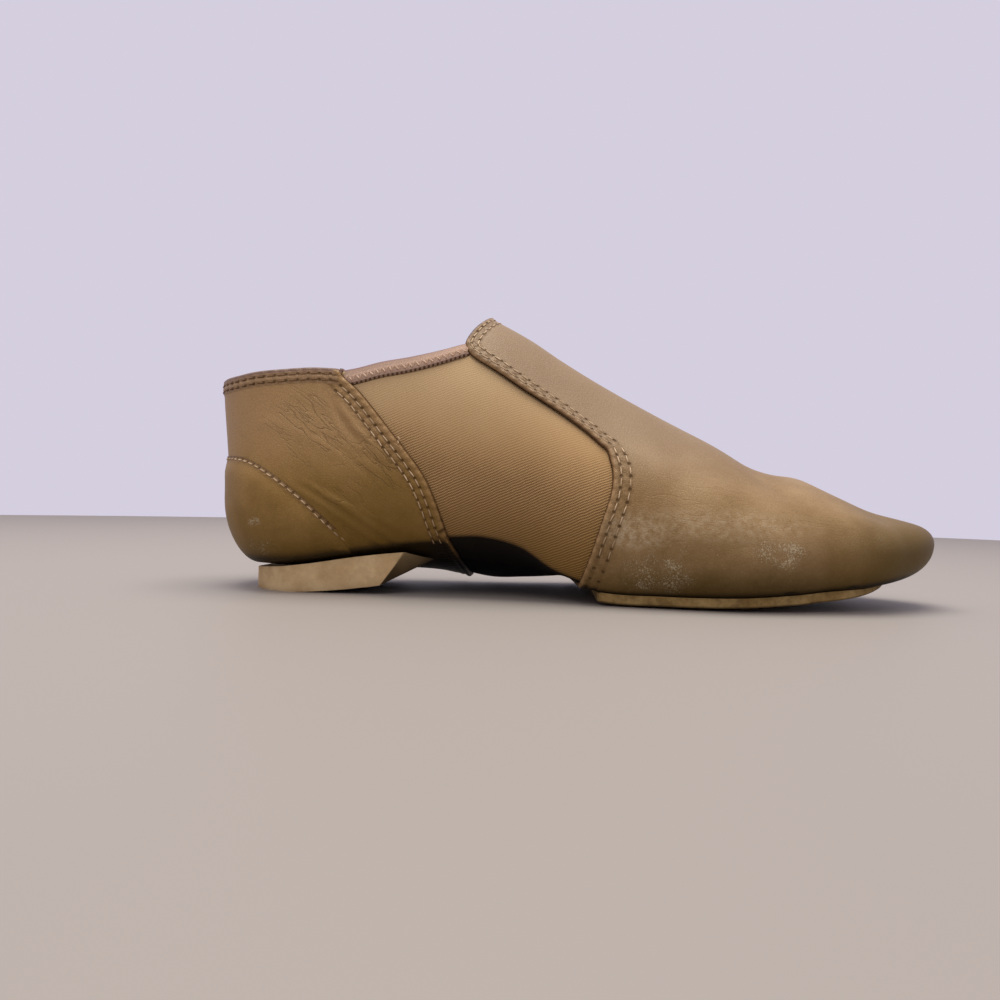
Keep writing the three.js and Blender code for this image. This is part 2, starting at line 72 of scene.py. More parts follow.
# place, side, feather out, feather up, side up, shoulder out, shoulder up, lean
SECTION_ROWS = (
    (0.000, 0.330, 0.632, 0.052, 0.298, 1.119, 0.673, -3),
    (0.500, 0.333, 0.696, 0.061, 0.256, 0.986, 0.683, 2),
    (1.000, 0.336, 0.762, 0.075, 0.235, 0.858, 0.704, 7),
    (1.105, 0.336, 0.780, 0.106, 0.246, 0.858, 0.715, 9),
    (1.211, 0.343, 0.799, 0.135, 0.288, 0.819, 0.756, 16),
    (1.304, 0.360, 0.811, 0.150, 0.340, 0.695, 0.803, 30),
    (1.368, 0.374, 0.812, 0.152, 0.350, 0.637, 0.787, 38),
    (1.439, 0.390, 0.808, 0.119, 0.308, 0.625, 0.704, 44),
    (1.503, 0.407, 0.833, 0.052, 0.246, 0.629, 0.616, 47),
    (1.585, 0.433, 0.865, 0.010, 0.173, 0.646, 0.517, 50),
    (1.684, 0.455, 0.885, 0.006, 0.131, 0.694, 0.428, 52),
    (1.819, 0.468, 0.885, 0.010, 0.110, 0.700, 0.340, 54),
    (1.924, 0.426, 0.877, 0.023, 0.116, 0.698, 0.298, 56),
    (2.000, 0.377, 0.861, 0.037, 0.131, 0.741, 0.272, 58),
    (2.500, 0.375, 0.794, 0.054, 0.152, 0.810, 0.242, 62),
    (3.000, 0.463, 0.681, 0.065, 0.173, 0.810, 0.242, 66),
    (3.500, 0.396, 0.781, 0.054, 0.147, 0.826, 0.229, 62),
    (4.000, 0.433, 0.857, 0.037, 0.116, 0.714, 0.241, 58),
    (4.076, 0.469, 0.873, 0.023, 0.100, 0.711, 0.267, 56),
    (4.181, 0.500, 0.881, 0.010, 0.095, 0.714, 0.308, 54),
    (4.316, 0.517, 0.885, 0.004, 0.100, 0.668, 0.392, 52),
    (4.415, 0.495, 0.875, 0.000, 0.110, 0.625, 0.485, 50),
    (4.497, 0.467, 0.852, -0.013, 0.131, 0.599, 0.584, 47),
    (4.561, 0.440, 0.838, -0.019, 0.152, 0.595, 0.673, 44),
    (4.632, 0.417, 0.829, -0.021, 0.173, 0.600, 0.767, 38),
    (4.696, 0.395, 0.819, 0.000, 0.194, 0.651, 0.793, 30),
    (4.789, 0.371, 0.808, 0.037, 0.204, 0.763, 0.751, 16),
    (4.895, 0.352, 0.797, 0.058, 0.215, 0.824, 0.715, 9),
    (5.000, 0.343, 0.771, 0.065, 0.225, 0.847, 0.704, 7),
    (5.500, 0.336, 0.709, 0.058, 0.246, 0.979, 0.683, 2),
)
# along, aside, floor, ridge
MIDDLE_ROWS = (
    (0.131, 0.000, 0.044, 0.923),
    (0.204, 0.000, 0.046, 0.985),
    (0.278, 0.000, 0.052, 1.006),
    (0.343, 0.000, 0.062, 0.981),
    (0.388, 0.000, 0.058, 0.923),
    (0.437, -0.002, 0.040, 0.856),
    (0.482, -0.007, 0.021, 0.781),
    (0.539, -0.014, 0.004, 0.694),
    (0.608, -0.024, 0.000, 0.598),
    (0.682, -0.036, 0.000, 0.502),
    (0.735, -0.044, 0.004, 0.431),
    (0.776, -0.051, 0.011, 0.391),
    (0.829, -0.060, 0.025, 0.350),
)
# Seams in side view in millimetres: along from the heel's back, height over the floor
COLLAR_ROWS = (
    (-6, 69.6), (2, 70.2), (10, 70.6), (18, 71.5), (27, 72.2), (36, 73.0), (43, 72.9),
    (49.6, 72.7), (59.3, 75.3), (68.9, 77.2), (78.3, 79.7), (85.8, 82.2), (96, 85.6),
)
OPENING_ROWS = COLLAR_ROWS[:-1] + ((89.2, 90.0), (93.8, 96.2), (97.5, 101.0), (99, 140))
GORE_TOP_ROWS = COLLAR_ROWS[:-1] + (
    (92, 81.5), (98.2, 78), (108.1, 71.6), (117.8, 65.6), (127.2, 59.5), (134, 54.5), (140, 50),
)
QUARTER_ROWS = (
    (45, 76), (47.4, 71), (53.3, 65.7), (63.7, 53.5), (73.9, 40.9), (78.2, 33), (81.2, 25.1),
    (83.7, 17.1), (86, 8), (87.4, -2),
)
COUNTER_ROWS = (
    (-6, 44.6), (1.4, 44.5), (12.5, 43.9), (20.1, 41.5), (27.5, 37.3), (34.8, 32.2),
    (41.8, 26), (48.4, 19.8), (54.5, 14), (60, 8), (65, -2),
)
VAMP_ROWS = (
    (99.5, 103.5), (93.8, 96.2), (89.2, 90), (86.8, 85.4), (86.1, 83), (87.0, 80.8),
    (90.4, 77.8), (98.2, 73.1), (108.1, 66.7), (117.8, 60.9), (127.2, 54.1), (131.8, 49.4),
    (134.2, 43.6), (134, 35.9), (130.7, 25.2), (127.9, 15.9), (124.6, 6.2), (122.4, -2),
)


Array = np.ndarray
Values = float | Array
Places = tuple[Array, Array]
Marks = dict[str, Array]
Mesh = bmesh.types.BMesh
Material = bpy.types.Material
Triple = tuple[float, float, float]
Colour = tuple[int, int, int]
Socket = bpy.types.NodeSocket
Lay = Callable[[Array, Array], Places]
Relief = Callable[[Array, Marks], Array]
Given = Callable[[str], Socket]


class Side(Enum):
    """The side of the shoe that a seam lies on."""

    INNER = -1
    OUTER = 1

    def girth(self, row: Values) -> Values:
        """Girth of a row, which counts up from the floor to the ridge."""
        return row if self is Side.INNER else GIRTH - row


@dataclass(frozen=True)
class ShoeSizes:
    """Sizes of the whole shoe and the faces of its layers, in metres."""

    length: float = 0.245
    ball_width: float = 0.084
    instep_height: float = 0.096
    tread: float = 0.0044
    end_reach_share: float = 0.343
    middle_x: float = 0.121044
    middle_y: float = -0.000548
    fabric_wall: float = 0.0018
    leather: float = 0.0011
    leather_face: float = 0.0014
    counter_face: float = 0.0028


def hermite(start: Values, end: Values, leave: Values, arrive: Values,
            share: Values) -> Values:
    """Cubic between two values with given slopes, for numbers or arrays.

    Args:
        start: Value at share 0.
        end: Value at share 1.
        leave: Slope at share 0.
        arrive: Slope at share 1.
        share: Where to read the curve.

    Returns:
        The curve's values.
    """
    square = share * share
    cube = square * share
    return (start * (2 * cube - 3 * square + 1) + end * (3 * square - 2 * cube)
            + leave * (cube - 2 * square + share) + arrive * (cube - square))


def smooth(keys: Array, values: Array, at: Array, loop: float = 0.0) -> Array:
    """Smooth value of a table's column, through every row.

    Args:
        keys: The rows' places, rising.
        values: The column.
        at: Places to read.
        loop: Length of one round if the column closes on itself, else 0.

    Returns:
        The column at each place.
    """
    if loop:
        keys = np.concatenate([keys[-2:] - loop, keys, keys[:2] + loop])
        values = np.concatenate([values[-2:], values, values[:2]])
        at = np.mod(at, loop)
    else:
        keys = np.concatenate([keys[:1], keys, keys[-1:]])
        values = np.concatenate([values[:1], values, values[-1:]])
    i = np.clip(np.searchsorted(keys, at, side="right") - 1, 1, len(keys) - 3)

    def slope(j: Array) -> Array:
        """Slope of the column at a row."""
        return (values[j + 1] - values[j - 1]) / (keys[j + 1] - keys[j - 1])

    span = keys[i + 1] - keys[i]
    share = np.clip((at - keys[i]) / span, 0, 1)
    return hermite(values[i], values[i + 1], slope(i) * span, slope(i + 1) * span, share)


def hump(value: Array, centre: float, width: float) -> Array:
    """Soft bell of height 1 at a centre, with a given half width."""
    return np.exp(-((value - centre) / width) ** 2)


def ramp(value: Array, low: float, high: float) -> Array:
    """Smooth step from 0 at low to 1 at high."""
    share = np.clip((value - low) / (high - low), 0, 1)
    return share * share * (3 - 2 * share)


def unit(vectors: Array) -> Array:
    """The same vectors with length 1."""
    return vectors / np.maximum(np.linalg.norm(vectors, axis=-1, keepdims=True), 1e-12)


def lengths_along(points: Array) -> Array:
    """Length of a chain of points from its first point to each one."""
    steps = np.linalg.norm(np.diff(points, axis=0), axis=1)
    return np.concatenate([[0], np.cumsum(steps)])


def read_along(at: Array, lengths: Array, points: Array) -> Array:
    """Points at given lengths of a chain."""
    return np.stack([np.interp(at, lengths, column) for column in points.T], -1)


class SideLine:
    """A seam drawn in side view, smooth through the rows of its table."""

    def __init__(self, rows: Sequence[tuple[float, float]], sizes: ShoeSizes) -> None:
        """Samples the line finely in the frame's axes.

        Args:
            rows: Along and height in millimetres.
            sizes: The shoe's sizes.
        """
        table = np.array(rows, float) * MM
        steps = np.linspace(0, len(table) - 1, 40 * len(table))
        keys = np.arange(len(table), dtype=float)
        self.along = smooth(keys, table[:, 0], steps) - sizes.middle_x
        self.up = smooth(keys, table[:, 1], steps)

    def up_at(self, along: Array) -> Array:
        """Height of the line at a place along the shoe."""
        return np.interp(along, self.along, self.up)

    def along_at(self, up: Array) -> Array:
        """Place along the shoe where the line has a height."""
        return np.interp(up, self.up[::-1], self.along[::-1])


class Last:
    """The foot form under every panel.

    A point has a travel, 0 at the heel's back, 1 and 2 at the heel and toe axes and 3 at the
    toe's tip, and a girth, 0 in the middle of the floor, 4 on the ridge by way of the inner
    side, and 8 at the floor again by way of the outer side.
    """

    def __init__(self, sizes: ShoeSizes) -> None:
        """Reads the tables and samples the whole surface with its normals."""
        self.sizes = sizes
        self.rows = np.array(SECTION_ROWS, float)
        self.middle_rows = np.array(MIDDLE_ROWS, float)
        self.keys = self.run(self.rows[:, 0])
        self.loop = float(self.run(np.array(FULL_ROUND)))
        self.travels = np.linspace(0, TOE_TIP, TRAVEL_STEPS + 1)
        self.girths = np.linspace(0, GIRTH, ROUND_STEPS + 1)
        self.grid, self.normals = self.sampled()
        steps = np.linalg.norm(np.diff(self.grid, axis=1), axis=2)
        self.reach = np.concatenate([np.zeros((len(steps), 1)), np.cumsum(steps, axis=1)], axis=1)

    @staticmethod
    def run(place: Array) -> Array:
        """Run along the sole's edge from the heel's back to a place."""
        return sum(run * np.clip(place - i, 0, 1) for i, run in enumerate(RUNS))

    def column(self, index: int, place: Array) -> Array:
        """A column of the sections at a place round the sole."""
        return smooth(self.keys, self.rows[:, index], self.run(np.mod(place, FULL_ROUND)),
                      self.loop)

    def middle(self, index: int, along: Array) -> Array:
        """A column of the middle line."""
        return smooth(self.middle_rows[:, 0], self.middle_rows[:, index], along)

    def slope(self, index: int, along: Array) -> Array:
        """Slope of a height of the middle line, just behind a place."""
        step = 0.01
        rise = self.middle(index, along) - self.middle(index, along - step)
        return rise * self.sizes.instep_height / (step * self.sizes.length)

    def tilt(self, travel: Array) -> Array:
        """Slope of the floor under the foot across from the inner to the outer side."""
        near = np.clip(travel, 1, 2)
        far = FULL_ROUND - near
        width = sum(self.column(1, p) * self.column(2, p) for p in (near, far))
        rise = self.column(3, far) - self.column(3, near)
        return rise * self.sizes.instep_height / (width * self.sizes.ball_width)

    def point(self, travel: Array, girth: Array) -> Array:
        """Points of the last, in the frame's axes.

        Args:
            travel: Places along the shoe.
            girth: Places round it.

        Returns:
            Points, in an array with a last axis of three.
        """
        size = self.sizes
        travel, girth = np.broadcast_arrays(np.asarray(travel, float), np.asarray(girth, float))
        beyond = (travel < 0) | (travel > TOE_TIP)
        girth = np.mod(np.where(beyond, GIRTH - girth, girth), GIRTH)
        travel = np.where(travel < 0, -travel, travel)
        travel = np.where(travel > TOE_TIP, FULL_ROUND - travel, travel)
        inner = girth <= RIDGE
        row = np.where(inner, girth, GIRTH - girth)
        place = np.where(inner, travel, FULL_ROUND - travel)
        first, last = self.middle_rows[0, 0], self.middle_rows[-1, 0]
        along = first + (last - first) * np.clip(travel - 1, 0, 1)
        turn = (np.minimum(travel - 1, 0) + np.maximum(travel - 2, 0)) * math.pi / 2
        heading_x = np.sin(turn) * size.end_reach_share * size.length / size.ball_width
        heading_y = np.where(inner, -1.0, 1.0) * np.cos(turn)
        side = self.column(1, place) * size.ball_width

        def level(share: Array) -> Array:
            """Height of a share of the instep height over the tread."""
            return size.tread + share * size.instep_height

        floor, ridge = level(self.middle(2, along)), level(self.middle(3, along))
        feather = np.stack([self.column(2, place) * side, level(self.column(3, place))], -1)
        widest = np.stack([side, level(self.column(4, place))], -1)
        shoulder = np.stack([self.column(5, place) * side, level(self.column(6, place))], -1)
        top = np.stack([np.zeros_like(ridge), ridge], -1)
        lean = np.radians(self.column(7, place))
        lie = np.stack([-np.sin(lean), np.cos(lean)], -1)
        toe = np.where(travel > 2, heading_x, 0.0)
        across = self.tilt(travel) * heading_y + toe * self.slope(2, along)

        def share(start: int) -> Array:
            """Share of one span of the section."""
            return np.clip(row - start, 0, 1)[..., None]

        under = share(0)[..., 0]
        rest = feather[..., 1] - floor - across * feather[..., 0]
        bottom = np.stack([
            feather[..., 0] * under,
            floor + across * feather[..., 0] * under + rest * under * under,
        ], -1)
        out = (widest - feather) * QUARTER_TURN
        nil = np.zeros_like(side)
        edge = hermite(feather, widest, np.stack([out[..., 0], out[..., 0] * FEATHER_RISE], -1),
                       np.stack([nil, out[..., 1]], -1), share(1))
        wall = np.linalg.norm(shoulder - widest, axis=-1)
        rise = hermite(widest, shoulder, np.stack([nil, wall], -1), lie * wall[..., None],
                       share(2))
        crown = np.linalg.norm(top - shoulder, axis=-1)
        over = np.stack([-crown, -crown * toe * self.slope(3, along)], -1)
        roof = hermite(shoulder, top, lie * crown[..., None], over, share(3))
        flat = np.select([(row < i)[..., None] for i in (1, 2, 3)], [bottom, edge, rise], roof)
        return np.stack([
            along * size.length + heading_x * flat[..., 0] - size.middle_x,
            self.middle(1, along) * size.ball_width + heading_y * flat[..., 0] - size.middle_y,
            flat[..., 1],
        ], -1)

    def sampled(self) -> Places:
        """Points and outward normals on the fine grid of travels and girths."""
        step = self.travels[1]
        wide = np.concatenate([[-step], self.travels, [TOE_TIP + step]])
        turn = self.girths[1]
        round_ = np.concatenate([[-turn], self.girths, [GIRTH + turn]])
        grid = self.point(wide[:, None], round_[None, :])
        normals = np.cross(np.gradient(grid, axis=0), np.gradient(grid, axis=1))[1:-1, 1:-1]
        size = np.linalg.norm(normals, axis=-1)
        normals = unit(normals)
        for column in (0, ROUND_STEPS // 2, ROUND_STEPS):
            weak = size[:, column] < 1e-10
            near = (column + 2) % ROUND_STEPS, (column - 2) % ROUND_STEPS
            mean = unit(normals[:, near[0]] + normals[:, near[1]])
            normals[weak, column] = mean[weak]
        return grid[1:-1, 1:-1], normals

    def read(self, table: Array, travel: Array, girth: Array) -> Array:
        """Values of a table kept on the fine grid, with a last axis, at any places."""
        travel, girth = np.broadcast_arrays(np.asarray(travel, float), np.asarray(girth, float))
        t = np.clip(travel, 0, TOE_TIP) / self.travels[1]
        g = np.mod(girth, GIRTH) / self.girths[1]
        i = np.minimum(t.astype(int), len(self.travels) - 2)
        j = np.minimum(g.astype(int), len(self.girths) - 2)
        a, b = (t - i)[..., None], (g - j)[..., None]
        near = table[i, j] * (1 - b) + table[i, j + 1] * b
        far = table[i + 1, j] * (1 - b) + table[i + 1, j + 1] * b
        return near * (1 - a) + far * a

    def normal(self, travel: Array, girth: Array) -> Array:
        """Outward normals at points given by travel and girth."""
        return unit(self.read(self.normals, travel, girth))

    def lowered(self, travel: float, girth: float, depths: Array) -> Array:
        """Girths at distances down the section from a girth."""
        place = travel / self.travels[1]
        i = min(int(place), len(self.travels) - 2)
        reach = self.reach[i] * (1 + i - place) + self.reach[i + 1] * (place - i)
        start = np.interp(girth, self.girths, reach)
        return np.interp(start + (depths if girth > RIDGE else -depths), reach, self.girths)

    def cloth(self, travel: Array, girth: Array) -> Array:
        """Height of a point as if the skin hung straight from it: the weave's own measure."""
        outer = girth > RIDGE
        foot = np.where(outer, GIRTH - 1.5, 1.5)
        whole, reach, start = (self.read(self.reach[..., None], travel, at)[..., 0]
                               for at in (np.full_like(girth, GIRTH - 1e-9), girth, foot))
        reach, start = (np.where(outer, whole - part, part) for part in (reach, start))
        return self.point(travel, foot)[..., 2] + reach - start

    def face(self, travel: Array, girth: Array, out: float) -> Array:
        """Points at a distance out from the last."""
        return self.point(travel, girth) + self.normal(travel, girth) * out

    def travel_at(self, along: float) -> float:
        """Travel of a section at a distance from the heel's back, in millimetres."""
        first, last = self.middle_rows[0, 0], self.middle_rows[-1, 0]
        return 1 + (along * MM / self.sizes.length - first) / (last - first)


class Skin:
    """One face of a layer, where its seams are found."""

    def __init__(self, last: Last, out: float) -> None:
        """Moves the last's fine grid outward by a distance."""
        self.last = last
        self.points = last.grid + last.normals * out

    def rows(self, line: SideLine, side: Side, start: float = 1.0) -> Array:
        """Row where each section passes up through a side line.

        Args:
            line: The seam in side view.
            side: Which side of the shoe.
            start: Row to look from.

        Returns:
            One row for each of the last's travels; the ridge's where it never passes.
        """
        first, ridge = int(start * STEPS_PER_ROW), ROUND_STEPS // 2
        if side is Side.INNER:
            part = self.points[:, first:ridge + 1]
        else:
            part = self.points[:, ROUND_STEPS - first:ridge - 1:-1]
        rows = self.last.girths[first:ridge + 1]
        gap = part[..., 2] - line.up_at(part[..., 0])
        return np.where((gap > 0).any(axis=1), self.crossing(gap, rows), RIDGE)

    def travels(self, line: SideLine) -> Array:
        """Travel where each line of equal girth passes forward through a side line."""
        part = self.points[BEFORE_SEAMS:]
        gap = part[..., 0] - line.along_at(part[..., 2])
        return self.crossing(gap.T, self.last.travels[BEFORE_SEAMS:])

    @staticmethod
    def crossing(gap: Array, places: Array) -> Array:
        """Place where each row of gaps first rises through 0."""
        i = np.clip(np.argmax(gap > 0, axis=1), 1, len(places) - 1)
        pick = np.arange(len(gap))
        low, high = gap[pick, i - 1], gap[pick, i]
        return places[i - 1] + (places[i] - places[i - 1]) * np.clip(-low / (high - low), 0, 1)


class Seam:
    """A curve in space that stitches and edges follow."""

    def __init__(self, points: Array, normals: Array,
                 spread: Callable[[Array], Array] | None = None) -> None:
        """Keeps the curve at even steps.

        Args:
            points: Points along it.
            normals: The surface's normals there.
            spread: How far apart the rows beside it lie, as a share, from its points.
        """
        lengths = lengths_along(points)
        count = max(int(lengths[-1] / SEAM_STEP), 2)
        self.lengths = np.linspace(0, lengths[-1], count)
        self.points = read_along(self.lengths, lengths, points)
        self.normals = unit(read_along(self.lengths, lengths, normals))
        self.tangents = unit(np.gradient(self.points, axis=0))
        self.spread = spread(self.points) if spread else np.ones(count)

    def beside(self, length: float, inward: Vector, distance: float) -> tuple[Vector, Vector]:
        """A point beside the curve.

        Args:
            length: Distance along the curve.
            inward: Rough direction from the curve.
            distance: How far from it.

        Returns:
            The point, and the curve's tangent.
        """
        i = min(int(length / SEAM_STEP), len(self.points) - 1)
        tangent = Vector(self.tangents[i])
        away = Vector(self.normals[i]).cross(tangent).normalized()
        if away.dot(inward) < 0:
            away = -away
        return Vector(self.points[i]) + away * (distance * float(self.spread[i])), tangent

    def measure(self, points: Array) -> Array:
        """Distance along the curve and distance from it, for each point.

        Args:
            points: Points near the curve.

        Returns:
            An array of two columns, in metres.
        """
        tree = KDTree(len(self.points))
        for i, point in enumerate(self.points):
            tree.insert(point, i)
        tree.balance()
        near = np.array([tree.find(p)[1] for p in points])
        step = np.einsum("ij,ij->i", points - self.points[near], self.tangents[near])
        aside = points - self.points[near] - step[:, None] * self.tangents[near]
        away = np.linalg.norm(aside, axis=1) / self.spread[near]
        return np.stack([self.lengths[near] + step, away], -1)


def seam_on(last: Last, travel: Array, girth: Array, out: float,
            spread: Callable[[Array], Array] | None = None) -> Seam:
    """A seam through places at a distance out from the last."""
    return Seam(last.face(travel, girth, out), last.normal(travel, girth), spread)


def plain_grid(columns: int, rows: int) -> tuple[Mesh, Array]:
    """A flat grid of faces, and the two shares of each vertex."""
    bm = bmesh.new()
    bmesh.ops.create_grid(bm, x_segments=columns, y_segments=rows, size=1.0)
    return bm, np.array([v.co[:2] for v in bm.verts]) * 0.5 + 0.5


def welded(bm: Mesh) -> None:
    """Joins corners that coincide."""
    bmesh.ops.remove_doubles(bm, verts=bm.verts, dist=WELD)
    bmesh.ops.dissolve_degenerate(bm, edges=bm.edges, dist=WELD)


def turned_out(bm: Mesh, normals: Array, kept: Array | None = None) -> None:
    """Turns a mesh to face along its vertices' normals, judged on the kept vertices."""
    bm.verts.index_update()
    bm.normal_update()
    facing = sum(f.normal.dot(Vector(normals[f.verts[0].index])) for f in bm.faces
                 if kept is None or all(kept[v.index] for v in f.verts))
    if facing < 0:
        bmesh.ops.reverse_faces(bm, faces=bm.faces)


def laid_grid(last: Last, lay: Lay, counts: tuple[int, int], out: float,
              seams: dict[str, Seam] | None = None,
              relief: Relief | None = None) -> Mesh:
    """A grid laid on the last between its seams.

    Args:
        last: The last.
        lay: Gives travel and girth for two shares of the grid.
        counts: Faces along the two shares.
        out: Distance of the face from the last.
        seams: Curves whose distances are kept as attributes of the same names.
        relief: Height over the face, from points and distances.

    Returns:
        The mesh, facing out, with equal corners joined.
    """
    bm, shares = plain_grid(*counts)
    travel, girth = lay(*shares.T)
    normals = last.normal(travel, girth)
    points = last.point(travel, girth) + normals * out
    marks = {name: seam.measure(points) for name, seam in (seams or {}).items()}
    if relief:
        points = points + normals * relief(points, marks)[:, None]
    tip = np.flatnonzero(travel > TOE_TIP - 1e-6)
    heights = np.round(np.minimum(girth[tip], GIRTH - girth[tip]), 4)
    for height in np.unique(heights):
        here = tip[heights == height]
        points[here] = points[here].mean(axis=0)
    cloth = last.cloth(travel, girth)
    layers = [(bm.verts.layers.float_vector.new(name), m) for name, m in marks.items()]
    flow = bm.verts.layers.float_vector.new("flow")
    for i, vert in enumerate(bm.verts):
        vert.co = points[i]
        vert[flow] = (points[i, 0], cloth[i], 0.0)
        for layer, mark in layers:
            vert[layer] = (mark[i, 0], mark[i, 1], 0.0)
    turned_out(bm, normals)
    welded(bm)
    return bm


def as_mesh(bm: Mesh, name: str) -> bpy.types.Mesh:
    """Writes a mesh out and frees it."""
    mesh = bpy.data.meshes.new(name)
    bm.to_mesh(mesh)
    bm.free()
    return mesh


def linked(name: str, data: bpy.types.ID) -> bpy.types.Object:
    """An object of the scene that shows some data."""
    thing = bpy.data.objects.new(name, data)
    bpy.context.scene.collection.objects.link(thing)
    return thing


def finished(bm: Mesh, name: str, slot: str, nodes: Sequence[str],
             material: Material, wall: float = 0.0) -> bpy.types.Object:
    """Turns a mesh into a piece of the shoe.

    Args:
        bm: The mesh; it is freed.
        name: The piece's name.
        slot: Material slot of the record; not used.
        nodes: CAD nodes that it stands for.
        material: Its finish.
        wall: Thickness to give it inward, or 0.

    Returns:
        The object, riding on the shoe.
    """
    for face in bm.faces:
        face.smooth = True
    piece = linked(name, as_mesh(bm, name))
    mesh = piece.data
    mesh.materials.append(material)
    if wall:
        shell = piece.modifiers.new("wall", "SOLIDIFY")
        shell.thickness = wall
        shell.offset = -1.0
        shell.use_rim = True
    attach(piece, BODY)
    if nodes:
        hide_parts(*nodes)
    LOG.info("%s: %d faces", name, len(mesh.polygons))
    return piece


# ---------------------------------------------------------------- finishes

SEAM_SHADE = (92, 66, 36)
PER_METRE = 1 / MM


@dataclass(frozen=True)
class Region:
    """An oval region in millimetres in the frame's axes."""

    centre: Triple
    reach: Triple


class Nodes:
    """Short calls that fill a node tree."""

    def __init__(self, tree: bpy.types.NodeTree) -> None:
        """Keeps the tree."""
        self.tree = tree

    def fill(self, node: bpy.types.Node, values: dict) -> None:
        """Links a node's inputs, by name or number, or sets their own values."""
        for key, value in values.items():
            if isinstance(value, Socket):
                self.tree.links.new(value, node.inputs[key])
            else:
                node.inputs[key].default_value = value

    def add(self, kind: str, values: dict | None = None, **settings: object) -> bpy.types.Node:
        """Adds a node.

        Args:
            kind: The node's type, without its common first words.
            values: Values or sockets for its inputs, by name or number.
            settings: Properties of the node.

        Returns:
            The node.
        """
        node = self.tree.nodes.new("ShaderNode" + kind)
        for key, value in settings.items():
            setattr(node, key, value)
        self.fill(node, values or {})
        return node

    def math(self, operation: str, *values: object) -> Socket:
        """One sum of numbers."""
        return self.add("Math", dict(enumerate(values)), operation=operation).outputs[0]

    def times(self, first: object, second: object) -> Socket:
        """Product of two numbers."""
        return self.math("MULTIPLY", first, second)

    def rest(self, share: object) -> Socket:
        """What a share leaves of 1."""
        return self.math("SUBTRACT", 1.0, share)

    def vector(self, operation: str, *values: object) -> Socket:
        """One sum of vectors."""
        node = self.add("VectorMath", dict(enumerate(values)), operation=operation)
        return node.outputs["Value" if operation in ("LENGTH", "DOT_PRODUCT") else "Vector"]

    def scaled(self, vector: Socket, scale: float) -> Socket:
        """A vector times a number."""
        return self.add("VectorMath", {0: vector, "Scale": scale}, operation="SCALE").outputs[0]

    def step(self, value: object, low: float, high: object) -> Socket:
        """0 up to low and 1 from high on, smooth between them."""
        return self.add("MapRange", {"Value": value, "From Min": low, "From Max": high},
                        interpolation_type="SMOOTHSTEP").outputs[0]

    def mix(self, share: object, *colours: object) -> Socket:
        """Mix of two colours, each a socket or a colour of a screen."""
        first, second = (c if isinstance(c, Socket) else linear(*c) for c in colours)
        return self.add("Mix", {0: share, 6: first, 7: second}, data_type="RGBA").outputs[2]

    def stain(self, colour: Socket, share: object, amount: float, tone: Colour) -> Socket:
        """A colour taken towards a tone by an amount of a share."""
        return self.mix(self.times(share, amount), colour, tone)

    def noise(self, vector: Socket, scale: float, detail: float = 2.0,
              rough: float = 0.5) -> Socket:
        """Noise from 0 to 1."""
        values = {"Vector": vector, "Scale": scale, "Detail": detail, "Roughness": rough}
        return self.add("TexNoise", values).outputs[0]

    def slanted(self, vector: Socket, angle: float, scale: Sequence[float]) -> Socket:
        """Side view coordinates along and across lines that fall forward at an angle, scaled."""
        cosine, sine = math.cos(math.radians(angle)), math.sin(math.radians(angle))
        parts = []
        for axis, size in zip(((cosine, 0, -sine), (0, 1, 0), (sine, 0, cosine)), scale):
            factors = tuple(size * part for part in axis)
            parts.append(self.vector("DOT_PRODUCT", vector, factors))
        return self.add("CombineXYZ", dict(enumerate(parts))).outputs[0]

    def inside(self, vector: Socket, region: Region) -> Socket:
        """1 in the middle of an oval region and 0 outside it."""
        off = self.vector("DIVIDE", self.vector("SUBTRACT", vector, region.centre), region.reach)
        return self.rest(self.step(self.vector("LENGTH", off), 0.3, 1.0))

    def height(self, vector: Socket) -> Socket:
        """The third part of a vector."""
        return self.add("SeparateXYZ", {0: vector}).outputs[2]

    def below(self, low: float, high: float) -> Socket:
        """1 where the surface faces down by at least high, 0 where by less than low."""
        facing = self.height(self.add("NewGeometry").outputs["Normal"])
        return self.step(self.times(facing, -1.0), low, high)

    def mark(self, name: str) -> Socket:
        """A vertex attribute, in millimetres."""
        return self.scaled(self.add("Attribute", attribute_name=name).outputs["Vector"], PER_METRE)


def shader_group(name: str, inputs: dict[str, object], outputs: Sequence[str],
                 fill: Callable[[Nodes, Given], Sequence[Socket]]) -> bpy.types.NodeTree:
    """Builds a shared node group once.

    Args:
        name: Its name.
        inputs: Default value of each input; a tuple makes a vector.
        outputs: Names of its outputs, all numbers.
        fill: Fills the tree from its inputs and returns a socket for each output.

    Returns:
        The group.
    """
    tree = bpy.data.node_groups.new(name, "ShaderNodeTree")
    for key, value in inputs.items():
        kind = "NodeSocketVector" if isinstance(value, tuple) else "NodeSocketFloat"
        made = tree.interface.new_socket(key, in_out="INPUT", socket_type=kind)
        made.default_value = value
    for key in outputs:
        tree.interface.new_socket(key, in_out="OUTPUT", socket_type="NodeSocketFloat")
    entry, leave = tree.nodes.new("NodeGroupInput"), tree.nodes.new("NodeGroupOutput")
    results = fill(Nodes(tree), lambda key: entry.outputs[key])
    for key, result in zip(outputs, results):
        tree.links.new(result, leave.inputs[key])
    return tree


